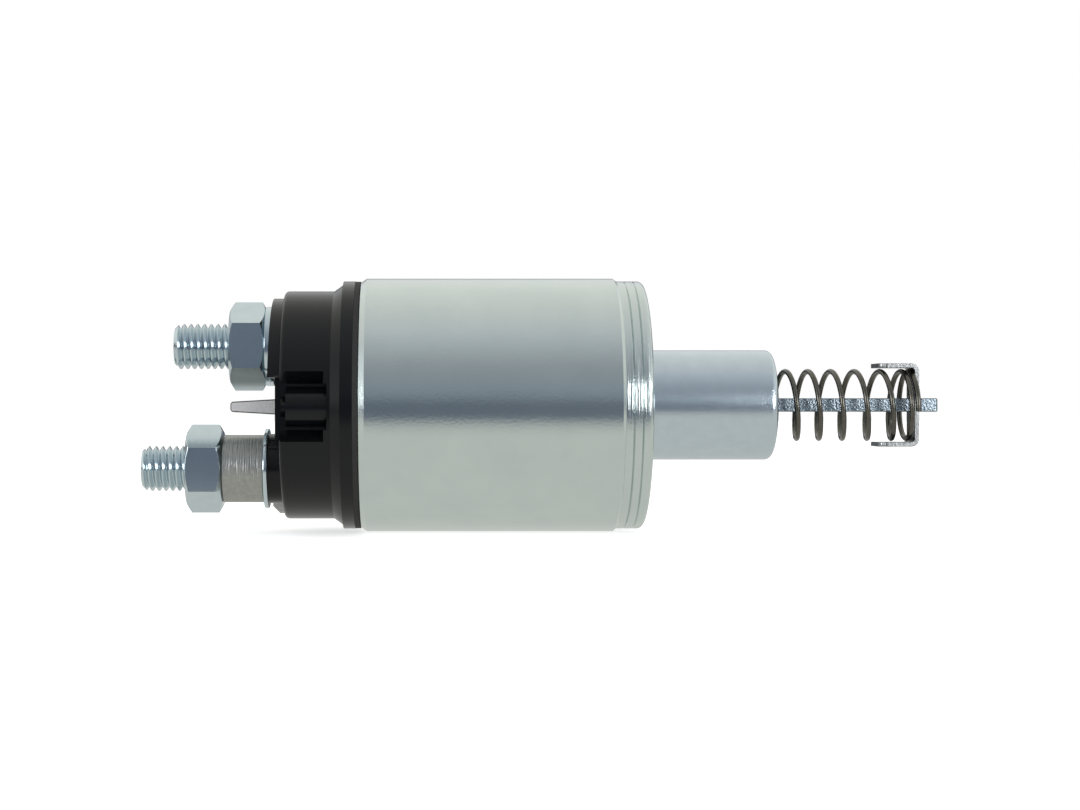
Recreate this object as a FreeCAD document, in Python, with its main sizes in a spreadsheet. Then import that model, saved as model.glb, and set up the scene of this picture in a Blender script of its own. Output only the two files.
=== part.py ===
import FreeCAD, Part
import Sketcher
import math
import os

# Starter solenoid, in millimetres.
# The axis of the can is X. The origin is the centre of the can's front mounting face.
# The plunger points along +X, the terminals along -X, and the battery stud is above the motor stud.

Vector = FreeCAD.Vector
full_turn = 360
# Two places nearer than this are the same place
near = 0.01
doc = FreeCAD.newDocument("starter_solenoid")
sheet = doc.addObject("Spreadsheet::Sheet", "sizes")
node_names = []


# A length with its value now and the sheet formula that it comes from.
class Size:
    def __init__(self, value, formula):
        self.value = value
        self.formula = formula

    def __add__(self, other):
        other = as_size(other)
        return Size(self.value + other.value, "(" + self.formula + " + " + other.formula + ")")

    def __sub__(self, other):
        other = as_size(other)
        return Size(self.value - other.value, "(" + self.formula + " - " + other.formula + ")")

    def __mul__(self, other):
        other = as_size(other)
        return Size(self.value * other.value, "(" + self.formula + " * " + other.formula + ")")

    def __truediv__(self, other):
        other = as_size(other)
        return Size(self.value / other.value, "(" + self.formula + " / " + other.formula + ")")

    def __neg__(self):
        return Size(-self.value, "(0 - " + self.formula + ")")


def as_size(number):
    if isinstance(number, Size):
        return number
    return Size(float(number), str(number))


# The driving dimensions, all in millimetres: each row of the sheet is a meaning and a named value
size_rows = [
    # Fits
    ("seat_gap", 0.05, "gap between pieces that seat in each other"),
    ("slide_gap", 0.2, "radial gap between the plunger and its guide"),
    ("stop_gap", 0.3, "gap left at the end of a travel"),
    ("thread_gap", 0.05, "gap between a smooth stud and the bore of its nut"),
    # Can
    ("can_length", 62.2, "length of the can"),
    ("can_radius", 28.0, "outer radius of the can"),
    ("band_length", 5.9, "length of the grooved front band"),
    ("band_depth", 0.6, "step from the can down to its front band"),
    ("band_slope", 0.7, "length of the slope at that step"),
    ("front_round", 1.25, "rounding of the can's front edge"),
    ("rim_chamfer_length", 1.4, "chamfer of the rear rim, along the axis"),
    ("rim_chamfer_depth", 0.9, "chamfer of the rear rim, across the axis"),
    ("groove_one", 2.3, "first groove, from the front face"),
    ("groove_two", 4.2, "second groove, from the front face"),
    ("groove_width", 0.5, "width of each groove at the surface"),
    ("groove_depth", 0.3, "depth of each groove"),
    ("front_wall", 7.5, "thickness of the can's front wall"),
    ("can_wall", 3.6, "wall of the can round the windings"),
    ("core_seat_step", 0.6, "step in the bore where the core plate seats"),
    ("core_seat_length", 6.5, "depth of that seat from the rear rim"),
    ("front_lip", 1.5, "lip at the front of the plunger hole"),
    ("lip_gap", 0.4, "radial gap between the plunger and the front lip"),
    ("mount_pcd", 42.0, "circle of the mounting threads"),
    ("mount_hole_radius", 2.1, "tapping hole of an M5 thread"),
    ("mount_hole_depth", 6.0, "depth of the mounting holes"),
    # Plunger
    ("plunger_radius", 12.15, "radius of the plunger"),
    ("plunger_length", 44.0, "length of the plunger"),
    ("plunger_reach", 28.7, "plunger end in front of the can, at rest"),
    ("plunger_travel", 11.0, "travel of the plunger into the can"),
    ("plunger_round", 1.5, "rounding of the plunger's outer edge"),
    ("nose_length", 4.0, "length of the plunger's conical nose"),
    ("nose_land", 0.6, "flat ring behind the conical nose"),
    ("nose_radius", 9.2, "small end of the conical nose"),
    ("spring_seat_radius", 8.6, "counterbore for the release spring"),
    ("spring_seat_depth", 2.5, "depth of that counterbore"),
    ("return_pocket_radius", 7.1, "pocket for the return spring"),
    ("return_pocket_depth", 14.0, "depth of that pocket in the plunger"),
    ("shank_radius", 5.0, "round shank of the drawbar in the plunger"),
    ("shank_length", 14.0, "length of that shank"),
    # Drawbar and clip
    ("drawbar_thickness", 3.0, "thickness of the flat drawbar"),
    ("drawbar_width", 5.0, "width of the flat drawbar"),
    ("drawbar_reach", 65.0, "drawbar end in front of the can, at rest"),
    ("head_length", 3.8, "length of the drawbar's wide head"),
    ("head_width", 8.0, "width of the drawbar's wide head"),
    ("head_round", 0.7, "rounding of the head's corners"),
    ("clip_thickness", 1.0, "sheet of the clip"),
    ("clip_width", 7.6, "width of the clip's strip"),
    ("clip_height", 18.4, "height of the clip over its legs"),
    ("clip_leg", 9.0, "length of the clip's legs with its web"),
    ("clip_bend", 0.7, "inner bend radius of the clip"),
    ("clip_gap", 0.3, "gap round the drawbar in the clip, and to its head"),
    ("clip_notch_radius", 0.5, "round notches in the edges of the legs"),
    ("clip_notch_place", 1.4, "centre of the notches from the leg's end"),
    ("clip_travel", 9.0, "travel of the clip towards the plunger"),
    # Release spring
    ("release_mean_radius", 7.45, "mean radius of the release spring"),
    ("release_wire", 0.58, "wire radius of the release spring"),
    ("release_turns", 5.75, "open turns of the release spring"),
    ("release_first", 1.0, "closed turns of it at the plunger"),
    ("release_last", 1.28, "closed turns of it at the clip"),
    # Guide, bobbin and windings
    ("sleeve_wall", 0.5, "wall of the guide sleeve"),
    ("sleeve_overlap", 9.0, "length of the core's stub inside the sleeve"),
    ("bobbin_wall", 0.9, "wall of the bobbin's tube"),
    ("bobbin_flange", 1.6, "thickness of the bobbin's flanges"),
    ("bobbin_gap", 0.1, "gap round the bobbin and the windings"),
    ("wrap_sunk", 0.8, "wrap inside the rim of the bobbin's flanges"),
    ("wrap_thickness", 0.4, "thickness of the insulating wrap"),
    # Core
    ("core_plate", 6.0, "thickness of the core's plate"),
    ("stub_gap", 0.1, "radial gap between the core's stub and the sleeve"),
    ("core_pocket_depth", 3.0, "depth of the core's pocket for the return spring"),
    ("rod_radius", 2.4, "radius of the push rod"),
    ("rod_gap", 0.3, "radial gap between the push rod and the core"),
    ("rear_bore_radius", 6.3, "bore for the contact spring in the core"),
    ("rear_bore_depth", 9.5, "depth of that bore"),
    # Return spring
    ("return_mean_radius", 5.9, "mean radius of the return spring"),
    ("return_wire", 0.6, "wire radius of the return spring"),
    ("return_turns", 5.0, "open turns of the return spring"),
    # Cap
    ("gasket_thickness", 1.1, "thickness of the cap gasket"),
    ("flange_step", 0.6, "step from the can down to the cap's flange"),
    ("flange_thickness", 2.6, "thickness of the cap's flange"),
    ("skirt_length", 2.1, "length of the flared skirt behind the flange"),
    ("skirt_step", 0.7, "step from the flange to the flared skirt"),
    ("cap_step", 2.2, "step from the flange down to the cap"),
    ("cap_depth", 16.6, "cap from the can's rim to its end face"),
    ("cap_edge", 0.9, "rounding of the cap's edges"),
    ("end_wall", 3.8, "thickness of the cap's end wall"),
    ("pad_step", 1.6, "raised pad at the upper stud inside the cap's radius"),
    ("pad_height", 2.5, "height of that pad"),
    ("pad_bottom", 5.8, "lower edge of the pad above the axis"),
    ("web_half_height", 7.6, "half height of the middle web"),
    ("web_inset", 3.3, "end of the middle web inside the floor of the recess"),
    ("web_height", 1.3, "height of the middle web on the end face"),
    ("boss_radius", 7.7, "radius of the round boss at the lower stud"),
    ("boss_height", 3.7, "height of that boss"),
    ("chamber_gap", 0.3, "gap between the lower stud's head and the contact chamber"),
    ("disc_gap", 0.5, "gap between the contact disc and the chamber's flat walls"),
    ("recess_low_half", 4.9, "half height of the side recesses at their floor"),
    ("recess_high_half", 8.2, "half height of the side recesses at the cap's surface"),
    ("recess_depth", 4.9, "depth of the side recesses"),
    ("recess_drop", 0.4, "middle of the side recesses below the axis"),
    ("recess_end", 0.5, "side recesses end behind the skirt"),
    ("recess_slope", 0.9, "slope of the end wall of the side recesses"),
    ("pillar_radius", 4.4, "radius of the screw pillars"),
    ("pillar_inset", 0.7, "screw pillars' middle below the floor of the recess"),
    ("pillar_drop", 1.4, "screw pillars below the cap's end face"),
    ("gasket_width", 5.0, "width of the cap gasket"),
    # Cap screws
    ("screw_radius", 2.0, "radius of the M4 cap screws"),
    ("screw_head_radius", 3.5, "radius of their heads"),
    ("screw_head_height", 3.0, "height of their heads"),
    ("screw_socket_half", 1.5, "hexagon socket of the screws, half its width across flats"),
    ("screw_socket_depth", 1.8, "depth of that socket"),
    ("screw_sunk", 0.8, "screw heads below the pillar's face"),
    ("screw_bite", 4.5, "screw length in the core plate"),
    ("screw_gap", 0.25, "radial gap round the screws in the cap"),
    # Studs, nuts and washers
    ("stud_radius", 5.0, "radius of the M10 studs"),
    ("stud_chamfer", 1.0, "chamfer at the ends of the studs"),
    ("engaged_radius", 4.5, "pitch radius of the M10 thread, where a nut engages the stud"),
    ("battery_height", 13.0, "battery stud above the axis"),
    ("motor_drop", 14.1, "motor stud below the axis"),
    ("battery_length", 41.2, "battery stud end behind the can's rim"),
    ("motor_length", 48.4, "motor stud end behind the can's rim"),
    ("head_radius", 7.0, "radius of the stud heads"),
    ("head_half_flat", 5.6, "half width across the flats of the stud heads"),
    ("stud_head_height", 4.0, "height of the stud heads"),
    ("head_seat_depth", 1.0, "seat of the stud heads in the end wall"),
    ("head_seat_gap", 0.15, "gap round the stud heads in that seat"),
    ("seal_radius", 6.6, "outer radius of the stud seals"),
    ("seal_thickness", 1.2, "thickness of the stud seals"),
    ("stud_hole_gap", 0.2, "radial gap round the studs in the cap"),
    ("nut_flats", 17.0, "width across flats of the M10 nuts"),
    ("nut_height", 7.9, "height of the M10 nuts"),
    ("nut_face_inset", 0.3, "round face of the nuts inside their width across flats"),
    ("lock_washer_radius", 8.8, "outer radius of the split washers"),
    ("lock_washer_height", 1.8, "height of the upper lock washer"),
    ("split_washer_height", 0.9, "height of the lower split washer"),
    ("washer_hole", 5.2, "hole radius of the washers and of the spacer"),
    ("washer_slit", 0.8, "slit of the split washers"),
    ("slit_rise", 0.5, "slit of the lower split washer above the stud's middle"),
    ("spacer_radius", 7.5, "radius of the turned spacer"),
    ("spacer_length", 9.3, "length of the turned spacer"),
    ("spacer_chamfer", 0.3, "chamfer of the turned spacer"),
    # Blade and lug
    ("blade_length", 10.2, "length of the blade outside the cap"),
    ("blade_tip", 2.25, "width of the blade at its tip"),
    ("blade_root", 3.4, "width of the blade at its root"),
    ("blade_thickness", 0.8, "thickness of the blade"),
    ("blade_corner", 0.4, "corners of the blade's tip"),
    ("blade_side", 9.5, "blade in front of the axis, towards the viewer"),
    ("blade_drop", 0.4, "blade below the axis"),
    ("blade_bury", 6.3, "blade inside the cap"),
    ("blade_slot_gap", 0.1, "gap round the blade in its slot"),
    ("lug_bottom", 24.5, "bottom of the winding lug below the axis"),
    ("lug_top", 17.0, "top of the winding lug below the axis"),
    ("lug_reach", 3.6, "winding lug out of the cap's end face"),
    ("lug_bury", 2.6, "winding lug inside the end wall"),
    ("lug_thickness", 1.0, "thickness of the winding lug"),
    ("lug_side", 9.0, "winding lug behind the axis, away from the viewer"),
    ("lug_neck", 1.4, "step from the winding lug's neck to its bottom"),
    ("lug_chamfer", 1.6, "cut corner of the winding lug"),
    # Contact set
    ("contact_gap", 3.0, "gap between the disc and the stud heads"),
    ("contact_travel", 2.75, "travel of the push rod"),
    ("disc_radius", 14.4, "radius of the contact disc"),
    ("disc_thickness", 2.4, "thickness of the contact disc"),
    ("neck_radius", 1.9, "push rod where the disc rides"),
    ("bush_radius", 5.0, "radius of the insulating bushes"),
    ("bush_thickness", 1.8, "thickness of the insulating bushes"),
    ("bush_sleeve", 0.9, "wall of the bush inside the disc"),
    ("collar_radius", 5.0, "radius of the push rod's collar"),
    ("collar_thickness", 1.5, "thickness of that collar"),
    ("ring_radius", 3.3, "outer radius of the retaining ring"),
    ("ring_thickness", 0.7, "thickness of the retaining ring"),
    ("ring_slit", 2.4, "opening of the retaining ring"),
    ("tail_length", 1.2, "push rod beyond the retaining ring"),
    ("contact_mean_radius", 4.9, "mean radius of the contact spring"),
    ("contact_wire", 0.5, "wire radius of the contact spring"),
    ("contact_turns", 3.0, "open turns of the contact spring"),
    ("rear_mean_radius", 3.5, "mean radius of the contact return spring"),
    ("rear_wire", 0.35, "wire radius of the contact return spring"),
    ("rear_turns", 2.0, "open turns of the contact return spring"),
    ("rear_pocket_depth", 2.6, "pocket for that spring in the end wall"),
    ("rear_pocket_radius", 4.4, "radius of that pocket"),
]


class Sizes:
    pass


mm = Sizes()
for number, (name, value, meaning) in enumerate(size_rows, start=1):
    sheet.set("A" + str(number), meaning)
    sheet.set("B" + str(number), str(value))
    sheet.setAlias("B" + str(number), name)
    setattr(mm, name, Size(float(value), "sizes." + name))

doc.recompute()

# Places along the axis, worked out from the sizes
rim_place = -mm.can_length
bay_radius = mm.can_radius - mm.can_wall
core_seat_radius = bay_radius + mm.core_seat_step
flange_radius = mm.can_radius - mm.flange_step
cap_radius = flange_radius - mm.cap_step
pad_radius = cap_radius - mm.pad_step
recess_floor = cap_radius - mm.recess_depth
pillar_place = recess_floor - mm.pillar_inset
chamber_radius = mm.motor_drop + mm.head_radius + mm.chamber_gap
chamber_half_width = mm.disc_radius + mm.disc_gap
core_front = mm.core_seat_length - mm.can_length
core_rear = core_front - mm.core_plate
plunger_end = mm.plunger_reach
plunger_inner = plunger_end - mm.plunger_length
core_rim = plunger_inner + mm.nose_length - mm.plunger_travel - mm.stop_gap
core_cup = core_rim - mm.nose_length
sleeve_inner_radius = mm.plunger_radius + mm.slide_gap
sleeve_outer_radius = sleeve_inner_radius + mm.sleeve_wall
stub_radius = sleeve_inner_radius - mm.stub_gap
gasket_rear = rim_place - mm.gasket_thickness
flange_rear = gasket_rear - mm.flange_thickness
skirt_rear = flange_rear - mm.skirt_length
cap_end = rim_place - mm.cap_depth
wall_inner = cap_end + mm.end_wall
head_seat = wall_inner - mm.head_seat_depth
contact_face = head_seat + mm.stud_head_height
disc_rear = contact_face + mm.contact_gap
disc_front = disc_rear + mm.disc_thickness
bush_front = disc_front + mm.bush_thickness
bush_rear = disc_rear - mm.bush_thickness
ring_rear = bush_rear - mm.ring_thickness
rod_rear = ring_rear - mm.tail_length
collar_front = core_rear + mm.rear_bore_depth - mm.stop_gap
collar_rear = collar_front - mm.collar_thickness
rod_tip = plunger_inner + mm.return_pocket_depth - mm.plunger_travel + mm.contact_travel - mm.stop_gap
clip_outer = mm.drawbar_reach - mm.head_length - mm.clip_gap
clip_inner = clip_outer - mm.clip_thickness
spring_floor = plunger_end - mm.spring_seat_depth
shank_end = spring_floor - mm.shank_length
pad_face = cap_end - mm.pad_height
boss_face = cap_end - mm.boss_height
battery_nut_face = pad_face - mm.lock_washer_height
spacer_front = boss_face - mm.split_washer_height
motor_nut_face = spacer_front - mm.spacer_length


# The plane or axis of a body's own origin
def origin_feature(body, role):
    for feature in body.Origin.OriginFeatures:
        if feature.Role == role:
            return feature


def new_body(name):
    body = doc.addObject("PartDesign::Body", name)
    body.Label = name
    node_names.append(name)
    return body


def new_sketch(body, name, role, offset=None):
    sketch = body.newObject("Sketcher::SketchObject", name)
    sketch.AttachmentSupport = [(origin_feature(body, role), "")]
    sketch.MapMode = "FlatFace"
    if offset is not None:
        sketch.AttachmentOffset = FreeCAD.Placement(Vector(0, 0, offset.value), FreeCAD.Rotation())
        sketch.setExpression("AttachmentOffset.Base.z", offset.formula)
    return sketch


# A sketch constraint that holds one coordinate of a point at a size
def hold(sketch, direction, geometry, point, size):
    number = sketch.addConstraint(Sketcher.Constraint(direction, -1, 1, geometry, point, size.value))
    sketch.setExpression("Constraints[" + str(number) + "]", size.formula)


# A closed outline of straight edges through points, each a pair of sizes
def add_outline(sketch, points):
    first = sketch.GeometryCount
    total = len(points)
    corners = [(as_size(across), as_size(up)) for across, up in points]
    for index in range(total):
        start = corners[index]
        end = corners[(index + 1) % total]
        start_point = Vector(start[0].value, start[1].value, 0)
        end_point = Vector(end[0].value, end[1].value, 0)
        sketch.addGeometry(Part.LineSegment(start_point, end_point))
    for index in range(total):
        following = first + (index + 1) % total
        sketch.addConstraint(Sketcher.Constraint("Coincident", first + index, 2, following, 1))
    for index, corner in enumerate(corners):
        hold(sketch, "DistanceX", first + index, 1, corner[0])
        hold(sketch, "DistanceY", first + index, 1, corner[1])


def add_circle(sketch, across, up, radius):
    across = as_size(across)
    up = as_size(up)
    radius = as_size(radius)
    centre = Vector(across.value, up.value, 0)
    geometry = sketch.addGeometry(Part.Circle(centre, Vector(0, 0, 1), radius.value))
    number = sketch.addConstraint(Sketcher.Constraint("Radius", geometry, radius.value))
    sketch.setExpression("Constraints[" + str(number) + "]", radius.formula)
    hold(sketch, "DistanceX", geometry, 3, across)
    hold(sketch, "DistanceY", geometry, 3, up)


# A circle cut by two flats: the outline of a stud head, of its seat and of the contact chamber
def add_flatted_circle(sketch, across, up, radius, half_width):
    across = as_size(across)
    up = as_size(up)
    rise = math.sqrt(radius.value ** 2 - half_width.value ** 2)
    rise_formula = "sqrt(" + radius.formula + " * " + radius.formula + " - "
    rise_formula = rise_formula + half_width.formula + " * " + half_width.formula + ")"
    rise_size = Size(rise, rise_formula)
    first = sketch.GeometryCount
    centre = Vector(across.value, up.value, 0)
    angle = math.atan2(rise, half_width.value)
    round_edge = Part.Circle(centre, Vector(0, 0, 1), radius.value)
    left = across.value - half_width.value
    right = across.value + half_width.value
    low = up.value - rise
    high = up.value + rise
    sketch.addGeometry(Part.ArcOfCircle(round_edge, angle, math.pi - angle))
    sketch.addGeometry(Part.LineSegment(Vector(left, high, 0), Vector(left, low, 0)))
    sketch.addGeometry(Part.ArcOfCircle(round_edge, math.pi + angle, 2 * math.pi - angle))
    sketch.addGeometry(Part.LineSegment(Vector(right, low, 0), Vector(right, high, 0)))
    sketch.addConstraint(Sketcher.Constraint("Coincident", first, 2, first + 1, 1))
    sketch.addConstraint(Sketcher.Constraint("Coincident", first + 1, 2, first + 2, 1))
    sketch.addConstraint(Sketcher.Constraint("Coincident", first + 2, 2, first + 3, 1))
    sketch.addConstraint(Sketcher.Constraint("Coincident", first + 3, 2, first, 1))
    hold(sketch, "DistanceX", first + 1, 1, across - half_width)
    hold(sketch, "DistanceY", first + 1, 1, up + rise_size)
    hold(sketch, "DistanceX", first + 1, 2, across - half_width)
    hold(sketch, "DistanceY", first + 1, 2, up - rise_size)
    hold(sketch, "DistanceX", first + 3, 1, across + half_width)
    hold(sketch, "DistanceY", first + 3, 1, up - rise_size)
    hold(sketch, "DistanceX", first + 3, 2, across + half_width)
    hold(sketch, "DistanceY", first + 3, 2, up + rise_size)
    hold(sketch, "DistanceY", first, 3, up)
    hold(sketch, "DistanceY", first + 2, 3, up)


# A regular hexagon with two corners on the sketch's up direction or across it
def hexagon_points(half_flats, flat_towards_viewer):
    corner = half_flats / math.cos(math.pi / 6)
    half_side = corner / 2
    if flat_towards_viewer:
        return [
            (half_flats, -half_side),
            (half_flats, half_side),
            (as_size(0), corner),
            (-half_flats, half_side),
            (-half_flats, -half_side),
            (as_size(0), -corner),
        ]
    return [
        (corner, as_size(0)),
        (half_side, half_flats),
        (-half_side, half_flats),
        (-corner, as_size(0)),
        (-half_side, -half_flats),
        (half_side, -half_flats),
    ]


# A turned piece: a profile of places along the axis and radii, revolved round the X axis
def revolve_profile(body, name, points):
    sketch = new_sketch(body, name + "_profile", "XY_Plane")
    add_outline(sketch, points)
    feature = body.newObject("PartDesign::Revolution", name)
    feature.Profile = sketch
    feature.ReferenceAxis = (sketch, ["H_Axis"])
    feature.Angle = full_turn
    return feature


def groove_profile(body, name, points):
    sketch = new_sketch(body, name + "_profile", "XY_Plane")
    add_outline(sketch, points)
    feature = body.newObject("PartDesign::Groove", name)
    feature.Profile = sketch
    feature.ReferenceAxis = (sketch, ["H_Axis"])
    feature.Angle = full_turn
    return feature


def turned(name, points):
    body = new_body(name)
    revolve_profile(body, name + "_turning", points)
    return body


def tube_points(start, end, inner, outer):
    return [(start, inner), (end, inner), (end, outer), (start, outer)]


# A body's whole placement moved up or sideways
def lift(body, size):
    body.Placement.Base.z = size.value
    body.setExpression("Placement.Base.z", size.formula)


def pad(body, sketch, name, length, towards_minus=False):
    feature = body.newObject("PartDesign::Pad", name)
    feature.Profile = sketch
    feature.Length = length.value
    feature.setExpression("Length", length.formula)
    feature.Reversed = towards_minus
    return feature


def pad_both_ways(body, sketch, name, length):
    feature = pad(body, sketch, name, length)
    feature.Midplane = True
    return feature


def pocket(body, sketch, name, length, towards_plus=False):
    feature = body.newObject("PartDesign::Pocket", name)
    feature.Profile = sketch
    feature.Length = length.value
    feature.setExpression("Length", length.formula)
    feature.Reversed = towards_plus
    return feature


# Round the edges of a body's last feature that a test picks
def round_edges(body, name, radius, picks):
    doc.recompute()
    base = body.Tip
    edges = []
    for index, edge in enumerate(base.Shape.Edges):
        if picks(edge):
            edges.append("Edge" + str(index + 1))
    feature = body.newObject("PartDesign::Fillet", name)
    feature.Base = (base, edges)
    feature.Radius = radius.value
    feature.setExpression("Radius", radius.formula)
    return feature


def is_ring(edge, place, radius):
    if not hasattr(edge.Curve, "Radius"):
        return False
    if abs(edge.Curve.Radius - radius.value) > near:
        return False
    return abs(edge.Curve.Center.x - place.value) < near


def is_head_corner(edge):
    start = edge.Vertexes[0].Point
    end = edge.Vertexes[-1].Point
    upright = abs(start.x - end.x) < near and abs(start.y - end.y) < near
    return upright and abs(start.x - mm.drawbar_reach.value) < near


def is_bend(edge, place, height):
    start = edge.Vertexes[0].Point
    end = edge.Vertexes[-1].Point
    across = abs(start.x - end.x) < near and abs(start.z - end.z) < near
    return across and abs(start.x - place.value) < near and abs(abs(start.z) - height.value) < near


# Rise of a closed turn, in wire radii: the wire's own thickness and a little more
closed_turn_rise = 2.2


# A wire spring along X: closed turns at both ends and open turns between. It starts at the viewer's
# side. The wire has flat sides, and its turns are made of short straight steps.
def coil_spring(name, start, end, mean_radius, wire, open_turns, first_turns, last_turns, sides, steps):
    rise = closed_turn_rise * wire.value
    first = start.value + wire.value
    last = end.value - wire.value
    open_start = first + rise * first_turns.value
    open_end = last - rise * last_turns.value
    last_start = first_turns.value + open_turns.value
    turns = last_start + last_turns.value
    total = int(round(turns * steps))
    places = []
    for index in range(total + 1):
        turn = turns * index / total
        if turn < first_turns.value:
            along = first + rise * turn
        elif turn < last_start:
            along = open_start + (open_end - open_start) * (turn - first_turns.value) / open_turns.value
        else:
            along = open_end + rise * (turn - last_start)
        angle = 2 * math.pi * turn
        across = -mean_radius.value * math.cos(angle)
        up = -mean_radius.value * math.sin(angle)
        places.append(Vector(along, across, up))
    path = Part.makePolygon(places)
    heading = places[1] - places[0]
    section_points = []
    outward = Vector(0, places[0].y, places[0].z)
    outward.normalize()
    sideways = heading.cross(outward)
    sideways.normalize()
    for index in range(sides + 1):
        angle = 2 * math.pi * index / sides
        offset = outward * (wire.value * math.cos(angle)) + sideways * (wire.value * math.sin(angle))
        section_points.append(places[0] + offset)
    section = Part.makePolygon(section_points)
    feature = doc.addObject("Part::Feature", name)
    feature.Shape = Part.Wire(path).makePipeShell([section], True, True, 1)
    feature.Label = name
    feature.Placement = FreeCAD.Placement()
    node_names.append(name)
    return feature


# The can, drawn from steel with a thick front wall
band_radius = mm.can_radius - mm.band_depth
can = turned("solenoid_can", [
    (rim_place, core_seat_radius),
    (rim_place, mm.can_radius - mm.rim_chamfer_depth),
    (rim_place + mm.rim_chamfer_length, mm.can_radius),
    (-mm.band_length - mm.band_slope, mm.can_radius),
    (-mm.band_length, band_radius),
    (as_size(0), band_radius),
    (as_size(0), mm.plunger_radius + mm.lip_gap),
    (-mm.front_lip, mm.plunger_radius + mm.lip_gap),
    (-mm.front_lip, sleeve_outer_radius + mm.seat_gap),
    (-mm.front_wall, sleeve_outer_radius + mm.seat_gap),
    (-mm.front_wall, bay_radius),
    (core_front, bay_radius),
    (core_front, core_seat_radius),
])
round_edges(can, "front_rounding", mm.front_round, lambda edge: is_ring(edge, as_size(0), band_radius))
for groove_name, groove_place in (("front_groove", mm.groove_one), ("rear_groove", mm.groove_two)):
    groove_profile(can, groove_name, [
        (-groove_place - mm.groove_width / 2, band_radius + mm.seat_gap),
        (-groove_place, band_radius - mm.groove_depth),
        (-groove_place + mm.groove_width / 2, band_radius + mm.seat_gap),
    ])
mounting_hole_count = 3
hole_sketch = new_sketch(can, "mounting_hole_sketch", "YZ_Plane")
add_circle(hole_sketch, 0, mm.mount_pcd / 2, mm.mount_hole_radius)
mounting_hole = pocket(can, hole_sketch, "mounting_hole", mm.mount_hole_depth)
doc.recompute()
hole_pattern = can.newObject("PartDesign::PolarPattern", "mounting_holes")
hole_pattern.Originals = [mounting_hole]
hole_pattern.Axis = (origin_feature(can, "X_Axis"), [""])
hole_pattern.Angle = full_turn
hole_pattern.Occurrences = mounting_hole_count
can.Tip = hole_pattern

# The fixed core: a plate in the can's rear seat and a stub with a conical cup for the plunger's nose
cup_radius = mm.plunger_radius - mm.nose_land
core = turned("fixed_core", [
    (core_rear, mm.rear_bore_radius),
    (core_rear, core_seat_radius - mm.seat_gap),
    (core_front, core_seat_radius - mm.seat_gap),
    (core_front, stub_radius),
    (core_rim, stub_radius),
    (core_rim, cup_radius),
    (core_cup, mm.nose_radius),
    (core_cup, mm.return_pocket_radius),
    (core_cup - mm.core_pocket_depth, mm.return_pocket_radius),
    (core_cup - mm.core_pocket_depth, mm.rod_radius + mm.rod_gap),
    (core_rear + mm.rear_bore_depth, mm.rod_radius + mm.rod_gap),
    (core_rear + mm.rear_bore_depth, mm.rear_bore_radius),
])
core_screw_sketch = new_sketch(core, "cap_screw_hole_sketch", "YZ_Plane", core_rear)
add_circle(core_screw_sketch, pillar_place, -mm.recess_drop, mm.screw_radius + mm.thread_gap)
add_circle(core_screw_sketch, -pillar_place, -mm.recess_drop, mm.screw_radius + mm.thread_gap)
pocket(core, core_screw_sketch, "cap_screw_holes", mm.screw_bite + mm.stop_gap, towards_plus=True)

# The guide sleeve, a thin brass tube from the front lip over the core's stub
sleeve_rear = core_rim - mm.sleeve_overlap
sleeve_front = -mm.front_lip - mm.seat_gap
turned("guide_sleeve", tube_points(sleeve_rear, sleeve_front, sleeve_inner_radius, sleeve_outer_radius))

# The bobbin between the front wall and the core plate
bobbin_inner = sleeve_outer_radius + mm.bobbin_gap
bobbin_outer = bobbin_inner + mm.bobbin_wall
bobbin_front = -mm.front_wall - mm.bobbin_gap
bobbin_rear = core_front + mm.bobbin_gap
bobbin_flange_radius = bay_radius - mm.stop_gap
turned("coil_bobbin", [
    (bobbin_rear, bobbin_inner),
    (bobbin_rear, bobbin_flange_radius),
    (bobbin_rear + mm.bobbin_flange, bobbin_flange_radius),
    (bobbin_rear + mm.bobbin_flange, bobbin_outer),
    (bobbin_front - mm.bobbin_flange, bobbin_outer),
    (bobbin_front - mm.bobbin_flange, bobbin_flange_radius),
    (bobbin_front, bobbin_flange_radius),
    (bobbin_front, bobbin_inner),
])

# The two windings, which share the room between the bobbin's tube and the wrap round them
coil_rear = bobbin_rear + mm.bobbin_flange + mm.bobbin_gap
coil_front = bobbin_front - mm.bobbin_flange - mm.bobbin_gap
wrap_outer = bobbin_flange_radius - mm.wrap_sunk
wrap_inner = wrap_outer - mm.wrap_thickness
pull_in_outer = wrap_inner - mm.bobbin_gap
hold_in_inner = bobbin_outer + mm.bobbin_gap
hold_in_outer = (hold_in_inner + pull_in_outer - mm.bobbin_gap) / 2
pull_in_inner = hold_in_outer + mm.bobbin_gap
turned("hold_in_winding", tube_points(coil_rear, coil_front, hold_in_inner, hold_in_outer))
turned("pull_in_winding", tube_points(coil_rear, coil_front, pull_in_inner, pull_in_outer))
turned("winding_wrap", tube_points(coil_rear, coil_front, wrap_inner, wrap_outer))

# The plunger with its conical nose, the pocket behind it and the seat of the release spring
plunger = turned("plunger", [
    (plunger_inner, mm.return_pocket_radius),
    (plunger_inner, mm.nose_radius),
    (plunger_inner + mm.nose_length, cup_radius),
    (plunger_inner + mm.nose_length, mm.plunger_radius),
    (plunger_end, mm.plunger_radius),
    (plunger_end, mm.spring_seat_radius),
    (spring_floor, mm.spring_seat_radius),
    (spring_floor, mm.shank_radius + mm.seat_gap),
    (shank_end - mm.seat_gap, mm.shank_radius + mm.seat_gap),
    (shank_end - mm.seat_gap, as_size(0)),
    (plunger_inner + mm.return_pocket_depth, as_size(0)),
    (plunger_inner + mm.return_pocket_depth, mm.return_pocket_radius),
])
round_edges(
    plunger, "plunger_rounding", mm.plunger_round,
    lambda edge: is_ring(edge, plunger_end, mm.plunger_radius),
)

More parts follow.
